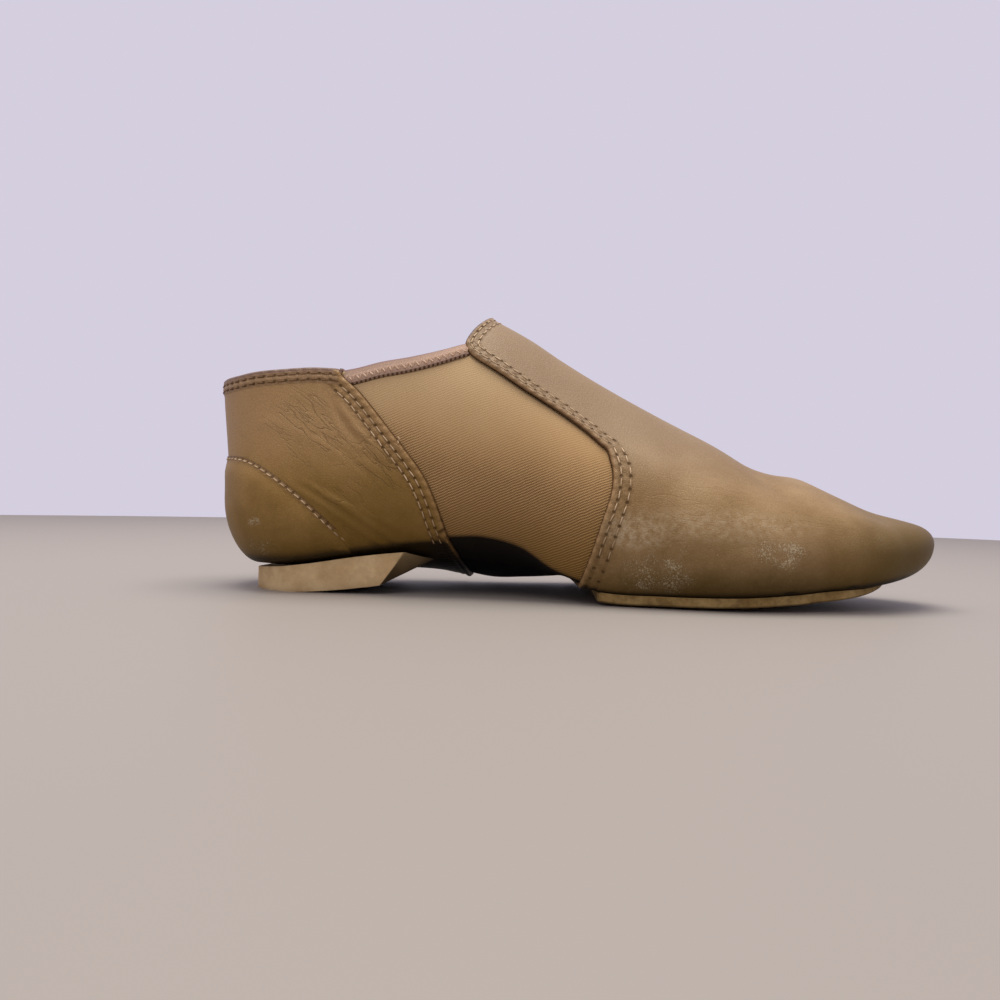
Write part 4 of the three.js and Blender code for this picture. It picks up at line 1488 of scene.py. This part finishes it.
@dataclass
class FoldedStrip:
    """A strip folded over the rim of the opening."""

    last: Last
    name: str
    slot: str
    nodes: tuple[str, ...]
    outer: float
    height: float
    rows: tuple[float, float] = ()
    puff: float = 0.12 * MM
    wall: float = 0.6 * MM
    proud: float = 0.8 * MM
    dive: float = 0.4 * MM
    dive_run: float = 2.0 * MM
    steps: int = 44

    def profile(self) -> Array:
        """Depth under the rim and distance out, round the strip from outside to inside."""
        far, near, deep, top = self.outer + self.wall, -3.3 * MM, self.height, -self.proud
        return np.array([
            (deep + 0.5 * MM, far - 0.8 * MM), (deep, far - 0.3 * MM), (deep - 0.9 * MM, far),
            (deep * 0.5, far + self.puff), (1.2 * MM, far), (top + 0.6 * MM, far - 0.15 * MM),
            (top + 0.1 * MM, far - 0.7 * MM), (top, (far + near) / 2),
            (top + 0.1 * MM, near + 0.7 * MM), (top + 0.6 * MM, near + 0.15 * MM),
            (1.4 * MM, near), (deep * 0.5, near), (deep, near + 0.2 * MM),
        ])

    def build(self, travel: Array, girth: Array, material: Material) -> None:
        """Builds the strip along a rim.

        Args:
            travel: Travels of the rim.
            girth: Girths of the rim.
            material: The finish.
        """
        last = self.last
        profile = self.profile()
        keys = lengths_along(profile)
        rim = last.point(travel, girth)
        run = lengths_along(rim)
        end = np.minimum(run, run[-1] - run)
        sunk = self.dive * (1 - ramp(end, 0.0, self.dive_run))
        stations = len(travel) - 1
        bm, shares = plain_grid(stations, self.steps)
        pick = (shares[:, 0] * stations).round().astype(int)
        depth, out = read_along(shares[:, 1], keys / keys[-1], profile).T
        outside = ramp(out, -1.0 * MM, self.outer)
        for row in self.rows:
            out = out - 0.14 * MM * hump(depth, row * MM, 0.4 * MM) * outside
        out = out - sunk[pick] * outside
        levels = np.linspace(-1.2 * MM, self.height + 0.6 * MM, 60)
        table = np.array([last.lowered(t, g, levels) for t, g in zip(travel, girth)])
        step = (depth - levels[0]) / (levels[1] - levels[0])
        low = np.clip(step.astype(int), 0, len(levels) - 2)
        ring = table[pick, low] * (1 + low - step) + table[pick, low + 1] * (step - low)
        normals = last.normal(travel[pick], ring)
        points = last.point(travel[pick], ring) + normals * out[:, None]
        mark = bm.verts.layers.float_vector.new("strip")
        for i, vert in enumerate(bm.verts):
            vert.co = points[i]
            vert[mark] = (run[pick[i]], depth[i], 0.0)
        turned_out(bm, normals, outside > 0.9)
        self.on = BVHTree.FromBMesh(bm)
        self.seam = seam_on(last, travel, girth, self.outer + self.wall)
        finished(bm, self.name, self.slot, self.nodes, material, self.wall)

    def stitch(self, thread: Material, seed: int) -> None:
        """Adds its straight rows."""
        rows = Stitching(self.name + "_stitches", self.slot, seed=seed)
        for distance in self.rows:
            rows.row(self.seam, DOWN, distance * MM, self.on, 0.0, 0.995)
        rows.build(thread)

    def zigzag(self, thread: Material, seed: int, low: float, high: float) -> None:
        """Adds a zigzag row between two depths, in millimetres."""
        rows = Stitching(self.name + "_zigzag", self.slot, pitch=0.0011, seed=seed, width=0.00056)
        corners = []
        for k in range(1, int(self.seam.lengths[-1] / rows.pitch)):
            seat, _ = self.seam.beside(k * rows.pitch, DOWN, (low if k % 2 else high) * MM)
            near, up, _, _ = self.on.find_nearest(seat)
            corners.append((near, up))
        for (a, up), (b, _) in zip(corners, corners[1:]):
            rows.stitch((a + b) / 2, b - a, up, (b - a).length * 0.96)
        rows.build(thread)


@dataclass
class Gore:
    """The stretch sleeve: the ribbed panel under the arch, its rim strips and the lining."""

    last: Last
    tuck: float = 0.022
    under_vamp: float = 138.0
    binding_height: float = 4.3
    binding_ends: tuple[float, float] = (45.5, 90.0)
    zigzag: tuple[float, float] = (1.4, 3.7)
    panel_faces: tuple[int, int] = (90, 260)
    lining_faces: tuple[int, int] = (360, 60)
    lining_face: float = -1.9 * MM
    lining_foot: float = 0.3

    def __post_init__(self) -> None:
        """Finds the panel's edges on the sleeve's own face."""
        sizes = self.last.sizes
        skin = Skin(self.last, 0.0)
        self.quarter_front = skin.travels(SideLine(QUARTER_ROWS, sizes))
        self.tops, self.opening, self.rims = (
            {side: skin.rows(SideLine(rows, sizes), side) for side in Side}
            for rows in (GORE_TOP_ROWS, OPENING_ROWS, COLLAR_ROWS))

    def lay_panel(self, a: Array, b: Array) -> Places:
        """Lays the panel: a forward from the quarter, b from rim to rim under the arch."""
        last = self.last
        girth = (b * 2 - 1) * 3.2
        travel = a
        for _ in range(6):
            back = np.interp(np.mod(-girth, GIRTH), last.girths, self.quarter_front) - self.tuck
            travel = back + (last.travel_at(self.under_vamp) - back) * a
            inner, outer = (np.interp(travel, last.travels, self.tops[side]) for side in Side)
            girth = (2 * b - 1) * np.where(b < 0.5, inner, outer)
        return travel, np.mod(-girth, GIRTH)

    def build_panel(self, material: Material) -> None:
        """Builds the ribbed panel."""
        def relief(points: Array, marks: Marks) -> Array:
            """The fabric is drawn in a little between its seams."""
            middle = hump(points[:, 0], -0.018, 0.030)
            return -0.35 * MM * middle * ramp(points[:, 2], 0.02, 0.06) - 0.02 * MM

        bm = laid_grid(self.last, self.lay_panel, self.panel_faces, 0.0, relief=relief)
        finished(bm, "gore_fabric", "stretch_fabric", ("upper",), material,
                 self.last.sizes.fabric_wall)

    def build_lining(self, material: Material) -> None:
        """Builds the lining inside, up to the rim of the opening and over under the vamp."""
        last, foot = self.last, self.lining_foot
        bm = bmesh.new()
        for side in Side:
            tops = self.opening[side]

            def lay(a: Array, b: Array) -> Places:
                """a along the shoe, b from the floor up."""
                travel = a * TOE_TIP
                top = np.interp(travel, last.travels, tops)
                return travel, side.girth(foot + (top - foot) * b)

            def relief(points: Array, marks: Marks) -> Array:
                """Lies up against the tongue of the vamp."""
                return 1.5 * MM * ramp(points[:, 2], 0.084, 0.094)

            half = laid_grid(last, lay, self.lining_faces, self.lining_face, relief=relief)
            mesh = as_mesh(half, "half")
            bm.from_mesh(mesh)
            bpy.data.meshes.remove(mesh)
        bmesh.ops.remove_doubles(bm, verts=bm.verts, dist=5 * WELD)
        finished(bm, "inside_lining", "stretch_fabric", (), material, 0.5 * MM)

    def build_bindings(self, material: Material, thread: Material) -> None:
        """Builds the elastic strip of each side with its zigzag."""
        travel = np.linspace(*(self.last.travel_at(end) for end in self.binding_ends), 130)
        for side, word in zip(Side, ("medial", "lateral")):
            girth = side.girth(np.interp(travel, self.last.travels, self.rims[side]))
            strip = FoldedStrip(self.last, "binding_" + word, "elastic_binding",
                                ("collar_binding_" + word,), outer=0.35 * MM,
                                height=self.binding_height * MM, wall=0.6 * MM,
                                puff=0.2 * MM, dive=1.5 * MM, dive_run=4.5 * MM)
            strip.build(travel, girth, material)
            strip.zigzag(thread, 21 + side.value, *self.zigzag)


@dataclass
class Vamp:
    """The toe and instep leather with its tongue-like top."""

    last: Last
    rows: tuple[float, float] = (2.7, 5.6)
    creases: tuple[Crease, ...] = (
        Crease((176, 47), (196, 26), 3.0, -0.3, 2.0),
        Crease((183, 45), (203, 27), 2.4, 0.25, 2.0),
        Crease((150, 58), (176, 30), 4.5, -0.25, 3.0),
        Crease((170, 20), (196, 14), 2.6, -0.2, 1.0),
        Crease((176, 47), (196, 26), 3.0, -0.35, 2.0, Side.OUTER),
        Crease((186, 44), (206, 24), 2.4, 0.3, 2.0, Side.OUTER),
    )
    swells: tuple[tuple[float, float, float], ...] = (
        (186, 9, -1.0), (197.5, 6, 1.1), (223, 12, -2.3), (243, 5, 0.8),
    )
    tongue_low: float = 47.5
    tongue_high: float = 81.0
    tongue_ends: tuple[float, float] = (84.0, 134.0)
    faces: tuple[int, int] = (150, 290)
    smoothing: int = 11
    # heights, and how far apart the stitch rows lie there as a share
    spread_rows: tuple[tuple[float, ...], tuple[float, ...]] = (
        (0, 43, 52, 80, 88, 110), (1, 1, 0.8, 0.8, 0.72, 0.72))

    def __post_init__(self) -> None:
        """Finds the back edge on the leather's face, up each side to the ridge."""
        self.halves = {side: self.edge_half(side) for side in Side}

    def edge_half(self, side: Side) -> tuple[Array, Array, Array]:
        """Share of its length, travel and row along the back edge of one side.

        The edge runs up the wall, then back along the tongue nearly level with the rows, then
        up to the ridge, so the middle stretch is found section by section.
        """
        last, out = self.last, self.last.sizes.leather_face
        skin = Skin(last, out)
        rows = last.girths[:ROUND_STEPS // 2 + 1]
        girth = side.girth(rows)
        travels = np.interp(girth, last.girths, skin.travels(SideLine(VAMP_ROWS, last.sizes)))
        up = last.face(travels, girth, out)[:, 2] / MM
        low = (up < self.tongue_low) & (rows < 3.2)
        high = (up > self.tongue_high) & (rows > 2.5)
        reach = skin.rows(SideLine(VAMP_ROWS[4:12], last.sizes), side)
        middle = last.face(last.travels, side.girth(reach), out) / MM
        along = middle[:, 0] + last.sizes.middle_x / MM
        kept = (middle[:, 2] > self.tongue_low + 0.4) & (middle[:, 2] < self.tongue_high - 0.4)
        behind, ahead = self.tongue_ends
        kept &= (along > behind) & (along < ahead)
        travel = np.concatenate([travels[low], last.travels[kept][::-1], travels[high]])
        row = np.concatenate([rows[low], reach[kept][::-1], rows[high]])
        points = last.face(travel, side.girth(row), out)
        share = lengths_along(points)
        share /= share[-1]
        even = np.linspace(0, 1, 500)
        found = []
        for values in (travel, row):
            line = np.interp(even, share, values)
            for _ in range(3):
                padded = np.pad(line, self.smoothing // 2, mode="edge")
                line = np.convolve(padded, np.ones(self.smoothing) / self.smoothing, mode="valid")
            found.append(line)
        found[1][0], found[1][-1] = 0.0, RIDGE
        return even, found[0], found[1]

    def lay(self, a: Array, b: Array) -> Places:
        """Lays the vamp: a forward from its back edge to the toe, b right round."""
        share = 2 * np.minimum(b, 1 - b)
        inner = b < 0.5
        found = []
        for side in Side:
            even, travels, rows = self.halves[side]
            corner = even[np.argmax(travels[100:400]) + 100] - 0.02
            turn = np.interp(corner, even, rows)
            far = np.interp(share, [0, corner, 1], [0, turn, RIDGE])
            row = np.interp(share, even, rows)
            far = np.where(share < corner, row, far)
            lift = 1 - np.clip(1 - a / 0.45, 0, 1) ** 2
            row = row + (far - row) * lift
            row = row + (RIDGE * share - row) * ramp(a, 0.6, 1.0)
            found.append((np.interp(share, even, travels), row))
        back, row = (np.where(inner, *pair) for pair in zip(*found))
        eased = 0.4 * a + 0.6 * a * a * (1.6 - 0.6 * a)
        return back + (TOE_TIP - back) * eased, np.where(inner, row, GIRTH - row)

    def back_seam(self) -> Seam:
        """The back edge from the floor over the tongue to the floor."""
        out = self.last.sizes.leather_face
        (_, near, low), (_, far, high) = (self.halves[side] for side in Side)
        travel = np.concatenate([near, far[-2::-1]])
        girth = np.concatenate([low, (GIRTH - high)[-2::-1]])

        def spread(points: Array) -> Array:
            """The rows draw together along the tongue and again round its top."""
            return np.interp(points[:, 2] / MM, *self.spread_rows)

        return seam_on(self.last, travel, girth, out, spread)

    def swell(self, points: Array) -> Array:
        """Soft rises and dips of the worn instep and toe."""
        along = (points[:, 0] + self.last.sizes.middle_x) / MM
        top = hump(points[:, 1], -4 * MM, 24 * MM) * ramp(points[:, 2], 18 * MM, 30 * MM)
        lift = sum(height * hump(along, centre, width) for centre, width, height in self.swells)
        return lift * top * MM

    def build(self, material: Material, thread: Material) -> None:
        """Builds the vamp and its two rows of stitches."""
        sizes = self.last.sizes
        edge = self.back_seam()

        def relief(points: Array, marks: Marks) -> Array:
            """The turned back edge and the folds of the toe break."""
            away = marks["back_edge"][:, 1]
            folds = sum(c.lift(points, sizes) for c in self.creases) + self.swell(points)
            return rolled(away, self.rows) + folds * ramp(away, 7 * MM, 12 * MM)

        bm = laid_grid(self.last, self.lay, self.faces, sizes.leather_face, {"back_edge": edge},
                       relief)
        on = BVHTree.FromBMesh(bm)
        finished(bm, "vamp_leather", "vamp_leather", ("vamp",), material, sizes.leather)
        rows = Stitching("vamp_stitches", "vamp_leather", seed=14)
        for distance in self.rows:
            rows.row(edge, Vector((1, 0, -0.2)), distance * MM, on, 0.12, 0.88)
        rows.build(thread)


@dataclass
class Soles:
    """The forefoot patch, the heel block and the sock inside."""

    last: Last
    patch_back: float = 130.8
    patch_front: float = 236.0
    patch_overhang: float = 1.6
    patch_thickness: float = 3.0
    patch_corner: float = 2.5
    pad_back: float = 13.7
    pad_front: float = 87.0
    pad_width: float = 46.0
    pad_back_round: float = 22.0
    wear_start: float = 30.0
    wear: float = 3.0
    slope_start: float = 60.5
    bevel_top: tuple[float, float] = (68.7, 14.2)
    pad_corner: Triple = (84.5, 12.0, 15.4)
    pad_bevel: float = 0.35
    bevelled_degrees: float = 24.0
    crisp_degrees: float = 30.0
    wall_levels: int = 6
    roof_round: float = 0.4
    under_faces: tuple[int, int] = (200, 120)
    sock_faces: tuple[int, int] = (180, 50)
    sock_face: float = -4.5 * MM
    sock_wall: float = 1.9 * MM

    def along(self, x: Array) -> Array:
        """Distance from the heel's back, in millimetres."""
        return (x + self.last.sizes.middle_x) / MM

    def underside(self, out: float) -> Callable[[Array, Array], Array]:
        """Height of the shoe's underside at plan points, for a face of the last."""
        bm = laid_grid(self.last, lambda a, b: (a * TOE_TIP, np.mod(2.2 - 4.4 * b, GIRTH)),
                       self.under_faces, out)
        tree = BVHTree.FromBMesh(bm)
        bm.free()
        up = Vector((0, 0, 1))

        def height(x: Array, y: Array) -> Array:
            """Heights, with the nearest face where a point misses."""
            found = []
            for px, py in zip(x, y):
                hit = tree.ray_cast(Vector((px, py, -0.05)), up)[0]
                hit = hit or tree.find_nearest(Vector((px, py, 0.0)))[0]
                found.append(hit.z)
            return np.array(found)

        return height

    def block(self, outline: Array, floor: Callable, roof: Callable, rings: int,
              round_: float) -> Mesh:
        """A closed block between a floor and a roof inside a plan outline.

        Args:
            outline: Closed plan outline, evenly spaced.
            floor: Height of its underside at plan points.
            roof: Height of its top at plan points.
            rings: Rings from the middle out, on each of the two faces.
            round_: Rounding of the lower and upper edges.

        Returns:
            The mesh.
        """
        middle = outline.mean(axis=0)
        lengths = np.linalg.norm(outline - middle, axis=1).mean()
        inset = max(round_, 0.05 * MM) / lengths
        # Each ring has a share of the outline and a lift by the rounding
        arc = np.linspace(0.3, 1.57, 4)
        shares = np.concatenate([np.linspace(0, 1 - inset, rings), 1 - inset * (1 - np.sin(arc))])
        lifts = np.concatenate([np.zeros(rings), round_ * (1 - np.cos(arc))])
        around = len(outline)
        levels = 2 * len(shares) + self.wall_levels
        bm, grid = plain_grid(around, levels - 1)
        station = (grid[:, 0] * around).round().astype(int) % around
        level = (grid[:, 1] * (levels - 1)).round().astype(int)
        share = np.ones(len(grid))
        low = level < len(shares)
        high = level >= levels - len(shares)
        share[low] = shares[level[low]]
        share[high] = shares[(levels - 1 - level)[high]]
        plan = middle + (outline[station] - middle) * share[:, None]
        x, y = plan.T
        bottom, top = floor(x, y), roof(x, y)
        z = np.empty(len(grid))
        z[low] = bottom[low] + lifts[level[low]]
        z[high] = top[high] - self.roof_round * lifts[(levels - 1 - level)[high]]
        side = ~(low | high)
        climb = (level[side] - len(shares) + 1) / (self.wall_levels + 1)
        z[side] = ((bottom[side] + round_) * (1 - climb)
                   + (top[side] - self.roof_round * round_) * climb)
        z = np.maximum(z, 0.0)
        for i, vert in enumerate(bm.verts):
            vert.co = (x[i], y[i], z[i])
        welded(bm)
        bmesh.ops.recalc_face_normals(bm, faces=bm.faces)
        return bm

    def even(self, outline: Array, count: int) -> Array:
        """A closed outline at even steps."""
        ring = np.concatenate([outline, outline[:1]])
        lengths = lengths_along(ring)
        return read_along(np.linspace(0, lengths[-1], count, endpoint=False), lengths, ring)

    def build_patch(self, material: Material) -> None:
        """Builds the forefoot patch, pressed flat where it bears."""
        last, size = self.last, self.last.sizes
        place = np.concatenate([np.linspace(1.0, 2.0, 160), np.linspace(2.0, 3.0, 40)])
        sides = []
        for side in Side:
            edge, inner = (last.point(place, side.girth(row))[:, :2] for row in (1.0, 0.6))
            over = self.patch_overhang - 5.0 * ramp(self.along(edge[:, 0]), 205.0, 236.0)
            sides.append(edge + unit(edge - inner) * over[:, None] * MM)
        low, high = (v * MM - size.middle_x for v in (self.patch_back, self.patch_front))
        corner = self.patch_corner * MM
        kept = [s[(s[:, 0] > low + corner) & (s[:, 0] < high)] for s in sides]
        (_, ay), (_, by) = kept[0][0], kept[1][0]
        back = np.array([(low + corner * 0.3, by - corner * 0.3), (low, by - corner),
                         (low, ay + corner), (low + corner * 0.3, ay + corner * 0.3)])
        outline = self.even(np.concatenate([kept[0], kept[1][::-1], back]), 260)
        top = self.underside(1.5 * MM)

        def floor(x: Array, y: Array) -> Array:
            """Underside of the patch."""
            thick = self.patch_thickness - 2.3 * ramp(self.along(x), 200.0, 233.0)
            return np.maximum(top(x, y) - thick * MM, 0.0)

        bm = self.block(outline, floor, top, 14, 0.5 * MM)
        finished(bm, "forefoot_patch", "forefoot_sole", ("outsole_forefoot",), material)

    def build_pad(self, material: Material) -> None:
        """Builds the heel block: an upright wall, a sloped front and two bevelled corners."""
        size = self.last.sizes
        half, axis = self.pad_width / 2, self.pad_back + self.pad_back_round
        turn = np.radians(np.linspace(90, 270, 60))
        back = np.stack([axis + self.pad_back_round * np.cos(turn), half * np.sin(turn)], -1)
        sides = np.array([(axis + 20, -half), (self.pad_front, -half), (self.pad_front, half),
                          (axis + 20, half)])
        shift = np.array([size.middle_x, size.middle_y])
        outline = self.even(np.concatenate([back, sides]) * MM - shift, 200)
        top = self.underside(2.9 * MM)

        def floor(x: Array, y: Array) -> Array:
            """Underside of the block, worn up towards its front."""
            worn = (self.along(x) - self.wear_start) / (self.slope_start - self.wear_start)
            return self.wear * MM * np.clip(worn, 0, 1.2) ** 1.6

        bm = self.block(outline, floor, top, 20, 0.0)
        bmesh.ops.dissolve_limit(bm, angle_limit=0.02, verts=bm.verts, edges=bm.edges)
        heel, corner = self.slope_start, self.pad_corner
        rise = Vector((self.wear - corner[2], 0.0, corner[0] - heel)).normalized()
        cuts = [(Vector((heel, 0.0, self.wear)), rise)]
        for hand in (-1, 1):
            low = Vector((heel, hand * half, self.wear))
            high = Vector((self.bevel_top[0], hand * half, self.bevel_top[1]))
            far = Vector((corner[0], hand * corner[1], corner[2]))
            normal = (high - low).cross(far - low).normalized()
            cuts.append((low, normal if normal.z > 0 else -normal))
        for point, normal in cuts:
            place = Vector([part * MM - off for part, off in zip(point, (*shift, 0.0))])
            geom = bm.verts[:] + bm.edges[:] + bm.faces[:]
            cut = bmesh.ops.bisect_plane(bm, geom=geom, dist=1e-7, plane_co=place,
                                         plane_no=normal, clear_inner=True)
            edges = [g for g in cut["geom_cut"] if isinstance(g, bmesh.types.BMEdge)]
            bmesh.ops.contextual_create(bm, geom=edges)
        bmesh.ops.recalc_face_normals(bm, faces=bm.faces)
        sharp = [e for e in bm.edges if len(e.link_faces) == 2
                 and e.calc_face_angle(0.0) > math.radians(self.bevelled_degrees)]
        bmesh.ops.bevel(bm, geom=sharp, offset=self.pad_bevel * MM, offset_type="OFFSET",
                        segments=2, profile=0.5, affect="EDGES", material=-1,
                        clamp_overlap=True)
        bmesh.ops.triangulate(bm, faces=bm.faces)
        for edge in bm.edges:
            edge.smooth = edge.calc_face_angle(0.0) < math.radians(self.crisp_degrees)
        finished(bm, "heel_block", "heel_pad", ("outsole_heel",), material)

    def build_sock(self, material: Material) -> None:
        """Builds the sock lining on the floor inside."""
        def lay(a: Array, b: Array) -> Places:
            """a along the shoe, b across its floor."""
            return a * TOE_TIP, np.mod((1 - 2 * b) * 0.97, GIRTH)

        def relief(points: Array, marks: Marks) -> Array:
            """The print of the heel and the ball, pressed down."""
            heel = hump(np.hypot(points[:, 0] + 0.086, points[:, 1]), 0.0, 0.020)
            ball = hump(np.hypot((points[:, 0] - 0.045) / 1.2, points[:, 1]), 0.0, 0.024)
            return 0.5 * MM * (heel + ball)

        bm = laid_grid(self.last, lay, self.sock_faces, self.sock_face, relief=relief)
        bmesh.ops.reverse_faces(bm, faces=bm.faces)
        finished(bm, "sock_lining", "insole_lining", ("insole",), material, self.sock_wall)


@dataclass
class Studio:
    """Pale floor and surround, soft light and the photograph's camera."""

    eye: Triple = (-0.00739, -0.29804, 0.0320)
    aside_degrees: float = 3.0
    roll_degrees: float = 1.5
    focal_share: float = 0.85
    sensor: float = 36.0
    # name, place, size, power
    lamps: tuple[tuple[str, Triple, float, float], ...] = (
        ("over", (-0.05, 0.05, 1.0), 0.8, 12.0),
        ("front", (-0.25, -0.8, 1.0), 0.7, 3.1),
    )
    surround: tuple[float, ...] = (0.66, 0.62, 0.74, 1.0)
    ground: tuple[float, ...] = (0.27, 0.235, 0.195, 1.0)
    ground_reach: float = 0.9

    def build_camera(self) -> None:
        """Sets the camera at the photograph's angle."""
        a, r = math.radians(self.aside_degrees), math.radians(self.roll_degrees)
        forward = Vector((-math.sin(a), math.cos(a), 0))
        right = Vector((math.cos(a), math.sin(a), 0))
        up = Vector((0, 0, 1))
        across = right * math.cos(r) + up * math.sin(r)
        above = up * math.cos(r) - right * math.sin(r)
        data = bpy.data.cameras.new("photo_camera")
        data.sensor_width = self.sensor
        data.lens = self.sensor * self.focal_share
        data.clip_start, data.clip_end = 0.01, 20.0
        camera = linked("photo_camera", data)
        turn = Matrix((across, above, -forward)).transposed()
        camera.matrix_world = Matrix.Translation(self.eye) @ turn.to_4x4()
        bpy.context.scene.camera = camera

    def build_light(self) -> None:
        """Soft lights over and in front of the shoe, and a pale surround."""
        scene = bpy.context.scene
        for name, place, size, power in self.lamps:
            data = bpy.data.lights.new(name, "AREA")
            data.shape, data.size, data.energy = "DISK", size, power
            light = linked(name, data)
            light.location = place
            light.rotation_euler = (-Vector(place)).to_track_quat("-Z", "Y").to_euler()
        scene.view_settings.view_transform = "Standard"
        world = bpy.data.worlds.new("surround")
        world.use_nodes = True
        background = world.node_tree.nodes["Background"]
        background.inputs[0].default_value = self.surround
        background.inputs[1].default_value = 1.0
        scene.world = world

    def build_floor(self) -> None:
        """A plain pale floor."""
        bm = bmesh.new()
        bmesh.ops.create_circle(bm, cap_ends=True, segments=128, radius=self.ground_reach)
        floor = linked("floor", as_mesh(bm, "floor"))
        material, n, shader, _ = started("pale_floor")
        n.fill(shader, {"Base Color": self.ground, "Roughness": 0.6})
        floor.data.materials.append(material)


def main() -> None:
    """Builds the shoe and its setting in order."""
    logging.basicConfig(level=logging.INFO, format="%(name)s: %(message)s")
    effects = Effects()
    last = Last(ShoeSizes())
    studio = Studio()
    studio.build_camera()
    studio.build_light()
    studio.build_floor()

    # foot=0.7: painted shade on the lower stitches
    thread = Napped("thread", (204, 178, 142), (168, 140, 104), nap=0.03, scale=8.0,
                    foot=0.7).material()
    dark_thread = Napped("brown_thread", (122, 92, 62), (88, 62, 38), nap=0.03,
                         scale=8.0).material()
    pale_thread = Napped("pale_thread", (204, 174, 146), (182, 150, 120), nap=0.03,
                         scale=8.0).material()
    quarter = Leather("quarter_hide", marks=QUARTER_EDGES, rows=HeelCup.quarter_rows,
                      # painted shade: the lower quarter, and nearly black where it turns under the
                      # arch
                      painted_shades=(Tint((-60, -30, 26), (26, 30, 24), (92, 66, 14), 0.4),
                             Tint((-38, 0, 6), (14, 34, 12), (14, 10, 4), 0.95)),
                      wrinkles=(
        Wrinkles((-80, -28, 54), (26, 24, 18), 36.0),
        Wrinkles((-62, -30, 42), (14, 24, 18), 42.0),
        Wrinkles((-72, -28, 28), (20, 24, 14), 33.0, 0.12, 0.45),
        Wrinkles((-75, 32, 46), (28, 22, 26), 38.0),
    )).material(effects)
    counter = Leather("counter_hide", light=(158, 124, 72), deep=(138, 106, 56),
                      marks=("top_edge",), rows=(HeelCup.counter_row,) * 2, pitch=3.0,
                      # painted shade at the counter's foot
                      painted_shades=(Tint((-88, -26, 6), (34, 24, 16), (84, 62, 14), 0.3),),
                      scuffs=(Scuff((-99, -20, 15), (9, 20, 6), 1.0, 0.1),
                              Scuff((-101, -24, 23), (5, 14, 3), 1.3),
                              Scuff((-100, 22, 14), (12, 16, 6), 0.8, 0.1),
                              )).material(effects)
    band = Leather("band_hide", crown=(162, 132, 98), light=(158, 128, 88), deep=(138, 106, 70),
                   lip=(122, 96, 80), crevice=(104, 82, 72), marks=("strip",),
                   rows=HeelCup.band_rows).material(effects)
    vamp = Leather("vamp_hide", crown=(138, 116, 90), light=(150, 122, 84), deep=(128, 100, 62),
                   low=(74, 54, 10), foot=(0.0, 40.0), lip=(158, 124, 86),
                   marks=("back_edge",), rows=Vamp.rows, piped_from=84.0, wrinkles=(
        Wrinkles((50, -34, 28), (50, 28, 20), 8.0, 0.05, 0.4),
        Wrinkles((62, -18, 42), (30, 34, 14), 24.0, 0.05, 0.4),
        Wrinkles((46, 38, 24), (50, 28, 22), 8.0, 0.08, 0.5),
    ), painted_shades=(
        # painted shade: the toe, the vamp's foot and dark spots in the gap above the patch
        Tint((108, -16, 8), (46, 46, 36), (80, 61, 8), 0.85),
        Tint((60, -44, 2), (70, 30, 14), (54, 40, 4), 0.6),
        Tint((67.5, -38, 6), (3.4, 8, 1.1), (24, 15, 6), 1.0),
        Tint((77.5, -35, 6.3), (2.6, 8, 0.9), (24, 15, 6), 1.0),
        Tint((87.5, -33, 8), (3, 8, 1.1), (24, 15, 6), 1.0),
    ), scuffs=(
        Scuff((27, -38, 11), (20, 26, 13), 1.0, 0.1),
        Scuff((20, -39, 23.5), (16, 24, 8), 0.6, 0.75),
        Scuff((62, -40, 18), (17, 24, 9), 1.0, 0.1),
        Scuff((45, -40, 26), (40, 26, 7), 0.4, 0.45),
        Scuff((42, -40, 14), (50, 28, 20), 0.55, 0.04),
        Scuff((92, -32, 22), (14, 26, 9), 0.6, 0.05),
        Scuff((40, 42, 12), (30, 20, 12), 0.8, 0.2),
    )).material(effects)
    twill = Twill("gore_twill").material(effects)
    elastic = Elastic("elastic").material()
    # under: painted shade on the patch's underside
    patch = Napped("sole_suede", (158, 132, 84), (122, 96, 52), nap=0.15, scale=1.8,
                   grime=0.6, grime_colour=(84, 64, 34), under=0.4).material()
    # under and front: painted shade on the block's underside and sloped front
    block = Napped("heel_suede", (204, 176, 130), (184, 154, 108), nap=0.1, scale=1.8,
                   grime=0.25, grime_colour=(136, 108, 68), under=0.9,
                   front=(-62.2, -46.0)).material()
    sock = Napped("sock", (176, 146, 108), (146, 114, 78), nap=0.08, scale=3.0,
                  grime=0.3).material()
    lining = Napped("lining", (178, 150, 116), (156, 126, 92), nap=0.1, scale=3.0).material()

    cup = HeelCup(last)
    cup.build_quarter(quarter, thread)
    cup.build_counter(counter, thread)
    cup.build_band(band, dark_thread)
    gore = Gore(last)
    gore.build_panel(twill)
    gore.build_lining(lining)
    gore.build_bindings(elastic, pale_thread)
    Vamp(last).build(vamp, thread)
    soles = Soles(last)
    soles.build_patch(patch)
    soles.build_pad(block)
    soles.build_sock(sock)


if __name__ == "__main__":
    main()
